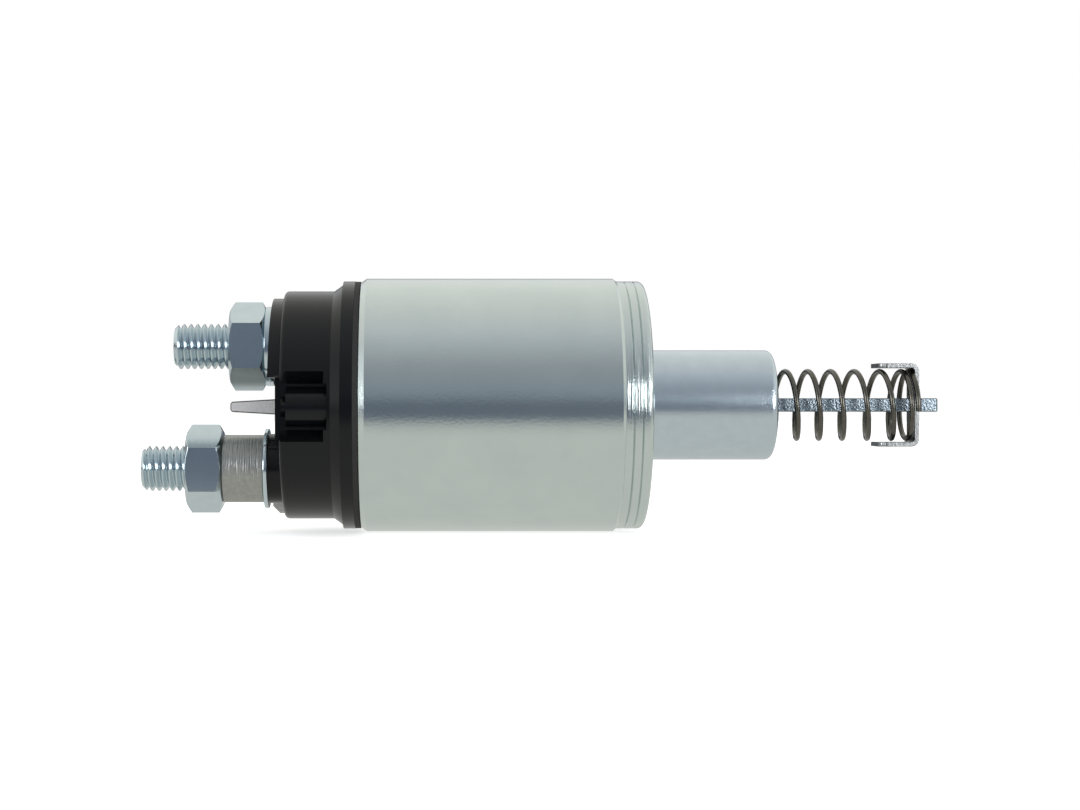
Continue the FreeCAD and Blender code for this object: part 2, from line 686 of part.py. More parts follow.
# The drawbar: a round shank pressed into the plunger, flattened in front of it, with a wide head
drawbar = new_body("drawbar")
half_width = mm.drawbar_width / 2
half_head = mm.head_width / 2
bar_sketch = new_sketch(drawbar, "bar_outline", "XY_Plane")
add_outline(bar_sketch, [
    (shank_end, -half_width),
    (mm.drawbar_reach - mm.head_length, -half_width),
    (mm.drawbar_reach - mm.head_length, -half_head),
    (mm.drawbar_reach, -half_head),
    (mm.drawbar_reach, half_head),
    (mm.drawbar_reach - mm.head_length, half_head),
    (mm.drawbar_reach - mm.head_length, half_width),
    (shank_end, half_width),
])
pad_both_ways(drawbar, bar_sketch, "flat_bar", mm.drawbar_thickness)
round_edges(drawbar, "head_rounding", mm.head_round, is_head_corner)
revolve_profile(drawbar, "shank", [
    (shank_end, as_size(0)),
    (spring_floor, as_size(0)),
    (spring_floor, mm.shank_radius),
    (shank_end, mm.shank_radius),
])

# The clip: a strip bent to a U, with a slot for the drawbar in its web
half_height = mm.clip_height / 2
leg_end = clip_outer - mm.clip_leg
clip = new_body("spring_clip")
clip_sketch = new_sketch(clip, "clip_outline", "XZ_Plane")
add_outline(clip_sketch, [
    (leg_end, -half_height),
    (clip_outer, -half_height),
    (clip_outer, half_height),
    (leg_end, half_height),
    (leg_end, half_height - mm.clip_thickness),
    (clip_inner, half_height - mm.clip_thickness),
    (clip_inner, mm.clip_thickness - half_height),
    (leg_end, mm.clip_thickness - half_height),
])
pad_both_ways(clip, clip_sketch, "clip_strip", mm.clip_width)
outer_bend = mm.clip_bend + mm.clip_thickness
round_edges(clip, "outer_bends", outer_bend, lambda edge: is_bend(edge, clip_outer, half_height))
inner_height = half_height - mm.clip_thickness
round_edges(clip, "inner_bends", mm.clip_bend, lambda edge: is_bend(edge, clip_inner, inner_height))
slot_sketch = new_sketch(clip, "slot_outline", "YZ_Plane", clip_outer)
slot_half_width = half_width + mm.clip_gap
slot_half_height = mm.drawbar_thickness / 2 + mm.clip_gap
add_outline(slot_sketch, [
    (-slot_half_width, -slot_half_height),
    (slot_half_width, -slot_half_height),
    (slot_half_width, slot_half_height),
    (-slot_half_width, slot_half_height),
])
pocket(clip, slot_sketch, "drawbar_slot", mm.clip_thickness + mm.clip_gap)
notch_sketch = new_sketch(clip, "notch_outline", "XY_Plane")
add_circle(notch_sketch, leg_end + mm.clip_notch_place, mm.clip_width / 2, mm.clip_notch_radius)
add_circle(notch_sketch, leg_end + mm.clip_notch_place, -mm.clip_width / 2, mm.clip_notch_radius)
notches = pocket(clip, notch_sketch, "leg_notches", mm.clip_height + mm.clip_gap)
notches.Midplane = True

# The springs, which the solids show with a wire of flat sides
fine_sides = 10
fine_steps = 20
plain_sides = 8
plain_steps = 16
coil_spring(
    "release_spring", spring_floor, clip_inner, mm.release_mean_radius, mm.release_wire,
    mm.release_turns, mm.release_first, mm.release_last, fine_sides, fine_steps,
)
one_turn = as_size(1)
coil_spring(
    "return_spring", core_cup - mm.core_pocket_depth, plunger_inner + mm.return_pocket_depth,
    mm.return_mean_radius, mm.return_wire, mm.return_turns,
    one_turn, one_turn, plain_sides, plain_steps,
)

# The terminal cap
cap = turned("terminal_cap", [
    (gasket_rear, as_size(0)),
    (gasket_rear, flange_radius),
    (flange_rear, flange_radius),
    (flange_rear, flange_radius - mm.skirt_step),
    (skirt_rear, cap_radius),
    (cap_end, cap_radius),
    (cap_end, as_size(0)),
])
round_edges(cap, "cap_edge_rounding", mm.cap_edge, lambda edge: is_ring(edge, cap_end, cap_radius))

# The raised pad at the battery stud: the part of a disc above a level line
pad_sketch = new_sketch(cap, "pad_outline", "YZ_Plane", cap_end + mm.cap_edge)
pad_half = math.sqrt(pad_radius.value ** 2 - mm.pad_bottom.value ** 2)
pad_half_formula = "sqrt(" + pad_radius.formula + " ^ 2 - " + mm.pad_bottom.formula + " ^ 2)"
pad_half_width = Size(pad_half, pad_half_formula)
pad_angle = math.atan2(mm.pad_bottom.value, pad_half)
pad_circle = Part.Circle(Vector(0, 0, 0), Vector(0, 0, 1), pad_radius.value)
pad_sketch.addGeometry(Part.ArcOfCircle(pad_circle, pad_angle, math.pi - pad_angle))
pad_left = Vector(-pad_half, mm.pad_bottom.value, 0)
pad_right = Vector(pad_half, mm.pad_bottom.value, 0)
pad_sketch.addGeometry(Part.LineSegment(pad_left, pad_right))
pad_sketch.addConstraint(Sketcher.Constraint("Coincident", 0, 2, 1, 1))
pad_sketch.addConstraint(Sketcher.Constraint("Coincident", 1, 2, 0, 1))
hold(pad_sketch, "DistanceX", 1, 1, -pad_half_width)
hold(pad_sketch, "DistanceY", 1, 1, mm.pad_bottom)
hold(pad_sketch, "DistanceX", 1, 2, pad_half_width)
hold(pad_sketch, "DistanceY", 1, 2, mm.pad_bottom)
hold(pad_sketch, "DistanceY", 0, 3, as_size(0))
pad(cap, pad_sketch, "battery_pad", mm.pad_height + mm.cap_edge, towards_minus=True)

# The round boss at the motor stud and the middle web
boss_sketch = new_sketch(cap, "boss_outline", "YZ_Plane", cap_end + mm.cap_edge)
add_circle(boss_sketch, 0, -mm.motor_drop, mm.boss_radius)
pad(cap, boss_sketch, "motor_boss", mm.boss_height + mm.cap_edge, towards_minus=True)
web_half_width = recess_floor - mm.web_inset
web_sketch = new_sketch(cap, "web_outline", "YZ_Plane", cap_end + mm.cap_edge)
add_outline(web_sketch, [
    (-web_half_width, -mm.web_half_height),
    (web_half_width, -mm.web_half_height),
    (web_half_width, mm.web_half_height),
    (-web_half_width, mm.web_half_height),
])
pad(cap, web_sketch, "middle_web", mm.web_height + mm.cap_edge, towards_minus=True)

# The contact chamber inside
chamber_sketch = new_sketch(cap, "chamber_outline", "YZ_Plane", gasket_rear)
add_flatted_circle(chamber_sketch, 0, 0, chamber_radius, chamber_half_width)
pocket(cap, chamber_sketch, "contact_chamber", gasket_rear - wall_inner)

# The side recesses, with sloping sides and a sloping end wall, and their screw pillars
recess_front = skirt_rear - mm.recess_end
recess_foot = recess_front - mm.recess_slope
outside = cap_radius + mm.skirt_step
side_rise = (mm.recess_high_half - mm.recess_low_half) / mm.recess_depth * (outside - recess_floor)
outside_half = mm.recess_low_half + side_rise
for side_name, side in (("near", -1), ("far", 1)):
    slope_sketch = new_sketch(cap, side_name + "_recess_side_outline", "YZ_Plane", recess_foot)
    add_outline(slope_sketch, [
        (recess_floor * side, -mm.recess_drop - mm.recess_low_half),
        (outside * side, -mm.recess_drop - outside_half),
        (outside * side, -mm.recess_drop + outside_half),
        (recess_floor * side, -mm.recess_drop + mm.recess_low_half),
    ])
    pocket(cap, slope_sketch, side_name + "_recess_sides", recess_foot - cap_end + mm.web_height)
    recess_sketch = new_sketch(cap, side_name + "_recess_outline", "XY_Plane", -mm.recess_drop)
    add_outline(recess_sketch, [
        (recess_foot - mm.recess_slope, outside * side),
        (recess_foot - mm.recess_slope, recess_floor * side),
        (recess_foot, recess_floor * side),
        (recess_front, outside * side),
    ])
    recess = pocket(cap, recess_sketch, side_name + "_recess", mm.recess_low_half * 2)
    recess.Midplane = True
    pillar_sketch = new_sketch(cap, side_name + "_pillar_outline", "YZ_Plane", recess_front)
    add_circle(pillar_sketch, pillar_place * side, -mm.recess_drop, mm.pillar_radius)
    pillar_length = recess_front - cap_end - mm.pillar_drop
    pad(cap, pillar_sketch, side_name + "_pillar", pillar_length, towards_minus=True)

# Holes and seats of the studs, the screws, the blade, the lug and the rear spring
stud_hole_sketch = new_sketch(cap, "stud_hole_outline", "YZ_Plane", wall_inner)
add_circle(stud_hole_sketch, 0, mm.battery_height, mm.stud_radius + mm.stud_hole_gap)
add_circle(stud_hole_sketch, 0, -mm.motor_drop, mm.stud_radius + mm.stud_hole_gap)
pocket(cap, stud_hole_sketch, "stud_holes", mm.end_wall + mm.boss_height + mm.pad_height)
head_seat_sketch = new_sketch(cap, "head_seat_outline", "YZ_Plane", wall_inner)
seat_radius = mm.head_radius + mm.head_seat_gap
seat_half_flat = mm.head_half_flat + mm.head_seat_gap
add_flatted_circle(head_seat_sketch, 0, mm.battery_height, seat_radius, seat_half_flat)
add_flatted_circle(head_seat_sketch, 0, -mm.motor_drop, seat_radius, seat_half_flat)
pocket(cap, head_seat_sketch, "head_seats", mm.head_seat_depth)
seal_seat_sketch = new_sketch(cap, "seal_seat_outline", "YZ_Plane", head_seat)
add_circle(seal_seat_sketch, 0, mm.battery_height, mm.seal_radius + mm.seat_gap)
add_circle(seal_seat_sketch, 0, -mm.motor_drop, mm.seal_radius + mm.seat_gap)
pocket(cap, seal_seat_sketch, "seal_seats", mm.seal_thickness)
pillar_face = cap_end + mm.pillar_drop
screw_hole_sketch = new_sketch(cap, "screw_hole_outline", "YZ_Plane", gasket_rear)
add_circle(screw_hole_sketch, pillar_place, -mm.recess_drop, mm.screw_radius + mm.screw_gap)
add_circle(screw_hole_sketch, -pillar_place, -mm.recess_drop, mm.screw_radius + mm.screw_gap)
pocket(cap, screw_hole_sketch, "screw_holes", mm.cap_depth)
screw_head_sketch = new_sketch(cap, "screw_head_outline", "YZ_Plane", pillar_face)
add_circle(screw_head_sketch, pillar_place, -mm.recess_drop, mm.screw_head_radius + mm.screw_gap)
add_circle(screw_head_sketch, -pillar_place, -mm.recess_drop, mm.screw_head_radius + mm.screw_gap)
screw_head_depth = mm.screw_head_height + mm.screw_sunk
pocket(cap, screw_head_sketch, "screw_head_seats", screw_head_depth, towards_plus=True)
rear_pocket_sketch = new_sketch(cap, "rear_pocket_outline", "YZ_Plane", wall_inner)
add_circle(rear_pocket_sketch, 0, 0, mm.rear_pocket_radius)
pocket(cap, rear_pocket_sketch, "rear_pocket", mm.rear_pocket_depth)
blade_slot_sketch = new_sketch(cap, "blade_slot_outline", "YZ_Plane", wall_inner)
slot_half_thickness = mm.blade_thickness / 2 + mm.blade_slot_gap
slot_half_rise = mm.blade_root / 2 + mm.blade_slot_gap
add_outline(blade_slot_sketch, [
    (-mm.blade_side - slot_half_thickness, -mm.blade_drop - slot_half_rise),
    (-mm.blade_side + slot_half_thickness, -mm.blade_drop - slot_half_rise),
    (-mm.blade_side + slot_half_thickness, -mm.blade_drop + slot_half_rise),
    (-mm.blade_side - slot_half_thickness, -mm.blade_drop + slot_half_rise),
])
pocket(cap, blade_slot_sketch, "blade_slot", mm.end_wall + mm.web_height + mm.pad_height)
lug_slot_sketch = new_sketch(cap, "lug_slot_outline", "YZ_Plane", cap_end)
lug_half_thickness = mm.lug_thickness / 2 + mm.blade_slot_gap
lug_step = mm.lug_neck - mm.lug_bottom
add_outline(lug_slot_sketch, [
    (mm.lug_side - lug_half_thickness, lug_step),
    (mm.lug_side + lug_half_thickness, lug_step),
    (mm.lug_side + lug_half_thickness, -mm.lug_top + mm.blade_slot_gap),
    (mm.lug_side - lug_half_thickness, -mm.lug_top + mm.blade_slot_gap),
])
pocket(cap, lug_slot_sketch, "lug_slot", mm.lug_bury + mm.blade_slot_gap, towards_plus=True)

# The gasket between the cap's flange and the can's rim
gasket_inner = flange_radius - mm.gasket_width
gasket_outer = flange_radius - mm.seat_gap
turned("cap_gasket", tube_points(gasket_rear, rim_place, gasket_inner, gasket_outer))


# A stud: a threaded shank with a flatted head inside the cap. The shank is at crest radius, and at
# pitch radius inside the nut, where the threads engage.
def stud(name, place_end, nut_face, height):
    body = new_body(name)
    revolve_profile(body, name + "_shank", [
        (place_end, as_size(0)),
        (place_end, mm.stud_radius - mm.stud_chamfer),
        (place_end + mm.stud_chamfer, mm.stud_radius),
        (nut_face - mm.nut_height, mm.stud_radius),
        (nut_face - mm.nut_height, mm.engaged_radius),
        (nut_face, mm.engaged_radius),
        (nut_face, mm.stud_radius),
        (head_seat, mm.stud_radius),
        (head_seat, as_size(0)),
    ])
    head_sketch = new_sketch(body, name + "_head_outline", "YZ_Plane", head_seat)
    add_flatted_circle(head_sketch, 0, 0, mm.head_radius, mm.head_half_flat)
    pad(body, head_sketch, name + "_head", mm.stud_head_height)
    lift(body, height)


stud("battery_stud", rim_place - mm.battery_length, battery_nut_face, mm.battery_height)
stud("motor_stud", rim_place - mm.motor_length, motor_nut_face, -mm.motor_drop)


# Slope of the chamfer on the nuts' corners, in degrees
nut_chamfer_angle = 30


# A hexagon nut with chamfered corners, one flat towards the viewer
def nut(name, face, height):
    body = new_body(name)
    rear = face - mm.nut_height
    outline = new_sketch(body, name + "_outline", "YZ_Plane", face)
    add_outline(outline, hexagon_points(mm.nut_flats / 2, True))
    add_circle(outline, 0, 0, mm.engaged_radius + mm.thread_gap)
    pad(body, outline, name + "_block", mm.nut_height, towards_minus=True)
    half_flats = mm.nut_flats / 2
    corner = half_flats / math.cos(math.pi / 6)
    slope = math.tan(math.radians(nut_chamfer_angle))
    clear = corner + mm.seat_gap
    low = half_flats - mm.nut_face_inset
    drop = (clear - low) * slope
    groove_profile(body, name + "_rear_chamfer", [
        (rear - mm.seat_gap, low),
        (rear + drop - mm.seat_gap, clear),
        (rear - mm.seat_gap, clear),
    ])
    groove_profile(body, name + "_front_chamfer", [
        (face + mm.seat_gap, low),
        (face - drop + mm.seat_gap, clear),
        (face + mm.seat_gap, clear),
    ])
    lift(body, height)


nut("battery_nut", battery_nut_face, mm.battery_height)
nut("motor_nut", motor_nut_face, -mm.motor_drop)


# A split washer: a ring with a slanted slit
def split_washer(name, face, thickness, height, slit_side, slit_up):
    body = turned(name, tube_points(face - thickness, face, mm.washer_hole, mm.lock_washer_radius))
    slit_sketch = new_sketch(body, name + "_slit_outline", "XZ_Plane")
    half_slit = mm.washer_slit / 2
    rise = thickness / 2
    add_outline(slit_sketch, [
        (face + mm.seat_gap, slit_up + rise - half_slit),
        (face + mm.seat_gap, slit_up + rise + half_slit),
        (face - thickness - mm.seat_gap, slit_up - rise + half_slit),
        (face - thickness - mm.seat_gap, slit_up - rise - half_slit),
    ])
    slit = pocket(body, slit_sketch, name + "_slit", mm.lock_washer_radius + mm.seat_gap)
    slit.Reversed = slit_side > 0
    lift(body, height)
    return body


split_washer("battery_lock_washer", pad_face, mm.lock_washer_height, mm.battery_height, 1, as_size(0))
split_washer("motor_split_washer", boss_face, mm.split_washer_height, -mm.motor_drop, -1, mm.slit_rise)

# The turned spacer behind the motor nut
spacer = turned("motor_spacer", [
    (motor_nut_face, mm.washer_hole),
    (motor_nut_face, mm.spacer_radius - mm.spacer_chamfer),
    (motor_nut_face + mm.spacer_chamfer, mm.spacer_radius),
    (spacer_front - mm.spacer_chamfer, mm.spacer_radius),
    (spacer_front, mm.spacer_radius - mm.spacer_chamfer),
    (spacer_front, mm.washer_hole),
])
lift(spacer, -mm.motor_drop)

# Seals under the stud heads
seal_rear = head_seat - mm.seal_thickness
seal_inner = mm.stud_radius + mm.thread_gap
for name, height in (("battery_stud_seal", mm.battery_height), ("motor_stud_seal", -mm.motor_drop)):
    seal = turned(name, tube_points(seal_rear, head_seat, seal_inner, mm.seal_radius))
    lift(seal, height)

# The blade terminal, tapered to its tip, through the middle web
blade = new_body("blade_terminal")
blade_sketch = new_sketch(blade, "blade_outline", "XZ_Plane", mm.blade_side - mm.blade_thickness / 2)
web_face = cap_end - mm.web_height
blade_end = web_face - mm.blade_length
half_tip = mm.blade_tip / 2
half_root = mm.blade_root / 2
add_outline(blade_sketch, [
    (web_face + mm.blade_bury, -mm.blade_drop - half_root),
    (web_face + mm.blade_bury, -mm.blade_drop + half_root),
    (web_face, -mm.blade_drop + half_root),
    (blade_end + mm.blade_corner, -mm.blade_drop + half_tip),
    (blade_end, -mm.blade_drop + half_tip - mm.blade_corner),
    (blade_end, -mm.blade_drop - half_tip + mm.blade_corner),
    (blade_end + mm.blade_corner, -mm.blade_drop - half_tip),
    (web_face, -mm.blade_drop - half_root),
])
pad(blade, blade_sketch, "blade_sheet", mm.blade_thickness)

# The winding lug, a small tab out of the end face below the motor stud's boss
lug = new_body("winding_lug")
lug_sketch = new_sketch(lug, "lug_outline", "XZ_Plane", -mm.lug_side - mm.lug_thickness / 2)
lug_end = cap_end - mm.lug_reach
step_level = lug_step + mm.blade_slot_gap
add_outline(lug_sketch, [
    (cap_end + mm.lug_bury, step_level),
    (cap_end + mm.lug_bury, -mm.lug_top),
    (lug_end, -mm.lug_top),
    (lug_end, -mm.lug_bottom + mm.lug_chamfer),
    (lug_end + mm.lug_chamfer, -mm.lug_bottom),
    (cap_end - mm.seat_gap, -mm.lug_bottom),
    (cap_end - mm.seat_gap, step_level),
])
pad(lug, lug_sketch, "lug_sheet", mm.lug_thickness)

# The push rod with its collar, and what it carries
turned("push_rod", [
    (rod_rear, as_size(0)),
    (rod_rear, mm.neck_radius),
    (collar_rear, mm.neck_radius),
    (collar_rear, mm.collar_radius),
    (collar_front, mm.collar_radius),
    (collar_front, mm.rod_radius),
    (rod_tip, mm.rod_radius),
    (rod_tip, as_size(0)),
])
neck_hole = mm.neck_radius + mm.seat_gap
disc_hole = neck_hole + mm.bush_sleeve + mm.seat_gap
turned("contact_disc", tube_points(disc_rear, disc_front, disc_hole, mm.disc_radius))
turned("disc_bush_front", [
    (disc_rear + mm.seat_gap, neck_hole),
    (disc_rear + mm.seat_gap, neck_hole + mm.bush_sleeve),
    (disc_front, neck_hole + mm.bush_sleeve),
    (disc_front, mm.bush_radius),
    (bush_front, mm.bush_radius),
    (bush_front, neck_hole),
])
turned("disc_bush_rear", tube_points(bush_rear, disc_rear, neck_hole, mm.bush_radius))
ring = turned("rod_clip", tube_points(ring_rear, bush_rear, neck_hole, mm.ring_radius))
ring_slit_sketch = new_sketch(ring, "ring_slit_outline", "XY_Plane")
add_outline(ring_slit_sketch, [
    (ring_rear - mm.seat_gap, -mm.ring_slit / 2),
    (bush_rear + mm.seat_gap, -mm.ring_slit / 2),
    (bush_rear + mm.seat_gap, mm.ring_slit / 2),
    (ring_rear - mm.seat_gap, mm.ring_slit / 2),
])
pocket(ring, ring_slit_sketch, "ring_slit_cut", mm.ring_radius + mm.seat_gap)
coil_spring(
    "contact_spring", bush_front, collar_rear, mm.contact_mean_radius, mm.contact_wire,
    mm.contact_turns, one_turn, one_turn, plain_sides, plain_steps,
)
rear_pocket_floor = wall_inner - mm.rear_pocket_depth
coil_spring(
    "contact_return_spring", rear_pocket_floor, ring_rear, mm.rear_mean_radius, mm.rear_wire,
    mm.rear_turns, one_turn, one_turn, plain_sides, plain_steps,
)

# The two cap screws, with socket heads sunk in the pillars
screw_head_face = pillar_face + mm.screw_sunk
screw_seat = screw_head_face + mm.screw_head_height
for screw_name, side in (("cap_screw_near", -1), ("cap_screw_far", 1)):
    screw = turned(screw_name, [
        (screw_head_face, as_size(0)),
        (screw_head_face, mm.screw_head_radius),
        (screw_seat, mm.screw_head_radius),
        (screw_seat, mm.screw_radius),
        (core_rear + mm.screw_bite, mm.screw_radius),
        (core_rear + mm.screw_bite, as_size(0)),
    ])
    socket_sketch = new_sketch(screw, screw_name + "_socket_outline", "YZ_Plane", screw_head_face)
    add_outline(socket_sketch, hexagon_points(mm.screw_socket_half, False))
    pocket(screw, socket_sketch, screw_name + "_socket", mm.screw_socket_depth, towards_plus=True)
    screw.Placement.Base.y = side * pillar_place.value
    screw.setExpression("Placement.Base.y", (pillar_place * side).formula)
    lift(screw, -mm.recess_drop)

doc.recompute()

# Every object has to be sound before anything is written
for item in doc.Objects:
    if "Invalid" in item.State or "Error" in item.State:
        raise RuntimeError("failed object: " + item.Name)
shapes = {}
for name in node_names:
    shape = doc.getObject(name).Shape
    if shape.isNull() or not shape.isValid() or len(shape.Solids) != 1:
        raise RuntimeError("bad shape: " + name)
    shapes[name] = shape

os.makedirs("parts", exist_ok=True)
for name in node_names:
    shapes[name].exportStep("parts/" + name + ".step")
    print(name, round(shapes[name].Volume, 1))
print(len(node_names), "nodes")
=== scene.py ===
# %% [markdown]
# # A starter solenoid
# A starter solenoid is an electromagnet in a steel can. Its coil pulls the plunger in, the drawbar
# on the plunger moves the starter's shift lever, and a copper disc inside the black cap joins the
# two threaded studs. The exact solids come in as a fixed frame. This file gives each of them its
# finish, and models again what solids can't show well: threads, springs, nuts and soft edges.

# %% Load the frame
import math

import bpy
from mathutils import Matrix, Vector


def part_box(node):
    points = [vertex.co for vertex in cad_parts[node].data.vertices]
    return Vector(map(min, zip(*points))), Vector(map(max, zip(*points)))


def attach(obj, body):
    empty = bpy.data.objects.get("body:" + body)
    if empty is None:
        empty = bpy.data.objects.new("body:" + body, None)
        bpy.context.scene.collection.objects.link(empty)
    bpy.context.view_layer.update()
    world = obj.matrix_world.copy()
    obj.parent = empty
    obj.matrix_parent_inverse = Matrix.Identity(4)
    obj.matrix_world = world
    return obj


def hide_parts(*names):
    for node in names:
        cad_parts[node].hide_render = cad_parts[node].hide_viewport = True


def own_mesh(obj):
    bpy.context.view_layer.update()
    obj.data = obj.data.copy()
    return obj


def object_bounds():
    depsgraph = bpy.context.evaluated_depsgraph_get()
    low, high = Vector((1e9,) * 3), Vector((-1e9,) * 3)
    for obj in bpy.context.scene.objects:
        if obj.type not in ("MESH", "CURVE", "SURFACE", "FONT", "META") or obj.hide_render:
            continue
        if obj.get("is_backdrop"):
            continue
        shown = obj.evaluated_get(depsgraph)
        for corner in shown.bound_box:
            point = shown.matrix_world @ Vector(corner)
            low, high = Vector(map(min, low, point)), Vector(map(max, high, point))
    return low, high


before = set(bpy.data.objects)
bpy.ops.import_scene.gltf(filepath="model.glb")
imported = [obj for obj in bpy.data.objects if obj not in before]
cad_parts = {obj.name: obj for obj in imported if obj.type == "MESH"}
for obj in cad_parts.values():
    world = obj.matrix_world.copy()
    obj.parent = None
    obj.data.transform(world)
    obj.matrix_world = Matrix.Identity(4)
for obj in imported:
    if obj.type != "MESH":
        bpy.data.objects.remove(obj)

cad_low, cad_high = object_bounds()
print("solids:", len(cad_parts), "box:", cad_low[:], cad_high[:])

# %% [markdown]
# ## Units and places
# Blender works in metres, and this object is measured in millimetres, so one value turns
# one into the other. The can's axis is X, and its front face, where it bolts to the starter, is at
# zero. The terminals lie towards -X and the plunger towards +X. Places are read from the solids'
# boxes, so nothing has to be typed twice.

# %% Millimetres and the places of the studs
MM = 0.001


def middle_of(node):
    """The middle of a solid's box."""
    low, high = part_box(node)
    return (Vector(low) + Vector(high)) / 2


def ends_of(node):
    """Where a solid starts and ends along the can's axis."""
    low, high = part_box(node)
    return low[0], high[0]


battery_z = middle_of("battery_nut").z
motor_z = middle_of("motor_nut").z
print("battery stud at", round(battery_z / MM, 2), "mm, motor stud at", round(motor_z / MM, 2), "mm")

# %% [markdown]
# ## Camera
# The photograph looks straight at the side of the object, from less than half a metre, and
# the object's middle is left of the picture's own middle at the height of the axis. A long lens
# with a small sideways shift gives the same view: the shift moves the picture without turning the
# camera, so upright edges stay upright.

# %% Camera
LENS = 66.67
SIDEWAYS_SHIFT = 0.1065
CAMERA_PLACE = (-48.0 * MM, -444.4 * MM, 0.0)

camera_data = bpy.data.cameras.new("camera")
camera_data.lens = LENS
camera_data.shift_x = SIDEWAYS_SHIFT
camera_data.clip_start = 0.01
camera_data.clip_end = 20.0
camera = bpy.data.objects.new("camera", camera_data)
camera.location = CAMERA_PLACE
camera.rotation_euler = (math.radians(90), 0, 0)
bpy.context.scene.collection.objects.link(camera)
bpy.context.scene.camera = camera
bpy.context.scene.view_settings.view_transform = "Standard"
print("camera lens", camera_data.lens, "shift", camera_data.shift_x)

# %% [markdown]
# ## Colours and nodes
# Colours are written as sRGB hex values, as a paint chart gives them, and the renderer counts
# in linear light, so one function turns one into the other. One small helper adds a node with its
# settings and links, which keeps each material short enough to read as a recipe.

# %% Helpers for materials
def colour(hex_value):
    """An sRGB hex value as linear red, green, blue and alpha."""
    channels = []
    for place in (0, 2, 4):
        share = int(hex_value[place:place + 2], 16) / 255
        channels.append(share / 12.92 if share <= 0.04045 else ((share + 0.055) / 1.055) ** 2.4)
    return (*channels, 1.0)


def add_node(tree, kind, inputs, **settings):
    """Adds a node. An input's value is a number, a colour or another node's output socket."""
    node = tree.nodes.new(kind)
    for name, value in settings.items():
        setattr(node, name, value)
    for name, value in inputs.items():
        if isinstance(value, bpy.types.NodeSocket):
            tree.links.new(value, node.inputs[name])
        else:
            node.inputs[name].default_value = value
    return node


def new_material(name, metallic, roughness):
    """A material with its shader, ready for its pattern."""
    material = bpy.data.materials.new(name)
    material.use_nodes = True
    shader = material.node_tree.nodes["Principled BSDF"]
    shader.inputs["Metallic"].default_value = metallic
    shader.inputs["Roughness"].default_value = roughness
    return material, material.node_tree, shader


print("linear value of mid grey:", round(colour("808080")[0], 3))

# %% [markdown]
# ## Studio
# Polished metal shows what stands round it, so the room matters more than the lamps. In the
# photograph the can is a mirror of that room: white paper behind it and below it, a large soft light
# above it, and a dark strip at the height of the camera, which is the unlit room behind the
# photographer. The world is drawn as that room. The direction of a ray, seen along the can's axis,
# becomes an angle, and a colour ramp gives each angle its colour. Only camera rays see plain white,
# as the picture's background is.

# %% World
world = bpy.data.worlds.new("studio")
bpy.context.scene.world = world
world.use_nodes = True
tree = world.node_tree
background = tree.nodes["Background"]
direction = add_node(tree, "ShaderNodeTexCoord", {})
parts = add_node(tree, "ShaderNodeSeparateXYZ", {"Vector": direction.outputs["Generated"]})
forward = add_node(tree, "ShaderNodeMath", {0: parts.outputs["Y"], 1: -1.0}, operation="MULTIPLY")
angle = add_node(tree, "ShaderNodeMath", {0: parts.outputs["Z"], 1: forward.outputs["Value"]},
                 operation="ARCTAN2")
share = add_node(tree, "ShaderNodeMapRange", {"Value": angle.outputs["Value"], "From Min": -math.pi,
                                              "From Max": math.pi, "To Min": 0.0, "To Max": 1.0})
room = add_node(tree, "ShaderNodeValToRGB", {"Fac": share.outputs["Result"]})

# Height above the camera's horizon in degrees, and the colour that the room has there. The unlit
# room is a little blue, the paper and the light above it a little warm, and low behind the paper's
# far edge the room is dark again, which draws a thin dark line round every wire and bar.
room_colours = [
    (-180, "34373a"), (-174, "6a6d70"), (-166, "dcdcd7"), (-90, "dcdcd7"), (-20, "8f959d"),
    (-9, "6a7280"), (0, "68707b"), (3, "747c88"), (6, "848d97"), (13, "919aa4"), (34, "a3a7ad"),
    (51, "bbbfc4"), (72, "d4d6d7"), (106, "e9e9e4"), (140, "f6f6f0"), (160, "ecedef"),
    (168, "8c8e90"), (180, "34373a"),
]
stops = room.color_ramp.elements
stops[0].color = colour(room_colours[0][1])
stops[1].color = colour(room_colours[-1][1])
for degrees, hex_value in room_colours[1:-1]:
    stops.new((degrees + 180) / 360).color = colour(hex_value)

# White walls stand left and right of the camera. They whiten the chamfers of the nuts. A ray meets
# them when it leans sideways by more than the first share and towards the camera by more than the
# second, and each pair of shares is a soft edge.
WALL_SIDE = (0.45, 0.80)
WALL_FRONT = (0.05, 0.25)

sideways = add_node(tree, "ShaderNodeMath", {0: parts.outputs["X"]}, operation="ABSOLUTE")
wall = add_node(tree, "ShaderNodeMapRange", {"Value": sideways.outputs["Value"],
                                             "From Min": WALL_SIDE[0], "From Max": WALL_SIDE[1]},
                interpolation_type="SMOOTHSTEP")
in_front = add_node(tree, "ShaderNodeMapRange", {"Value": forward.outputs["Value"],
                                                 "From Min": WALL_FRONT[0], "From Max": WALL_FRONT[1]},
                    interpolation_type="SMOOTHSTEP")
white_wall = add_node(tree, "ShaderNodeMath", {0: wall.outputs["Result"],
                                               1: in_front.outputs["Result"]}, operation="MULTIPLY")
walled = add_node(tree, "ShaderNodeMix", {0: white_wall.outputs["Value"], 6: room.outputs["Color"],
                                          7: colour("eef2f4")}, data_type="RGBA")
rays = add_node(tree, "ShaderNodeLightPath", {})
seen = add_node(tree, "ShaderNodeMix", {0: rays.outputs["Is Camera Ray"], 6: walled.outputs[2],
                                        7: (1.0, 1.0, 1.0, 1.0)}, data_type="RGBA")
tree.links.new(seen.outputs[2], background.inputs["Color"])
background.inputs["Strength"].default_value = 1.0
print("world stops:", [(stop.position, round(stop.color[0], 2)) for stop in stops][:4])

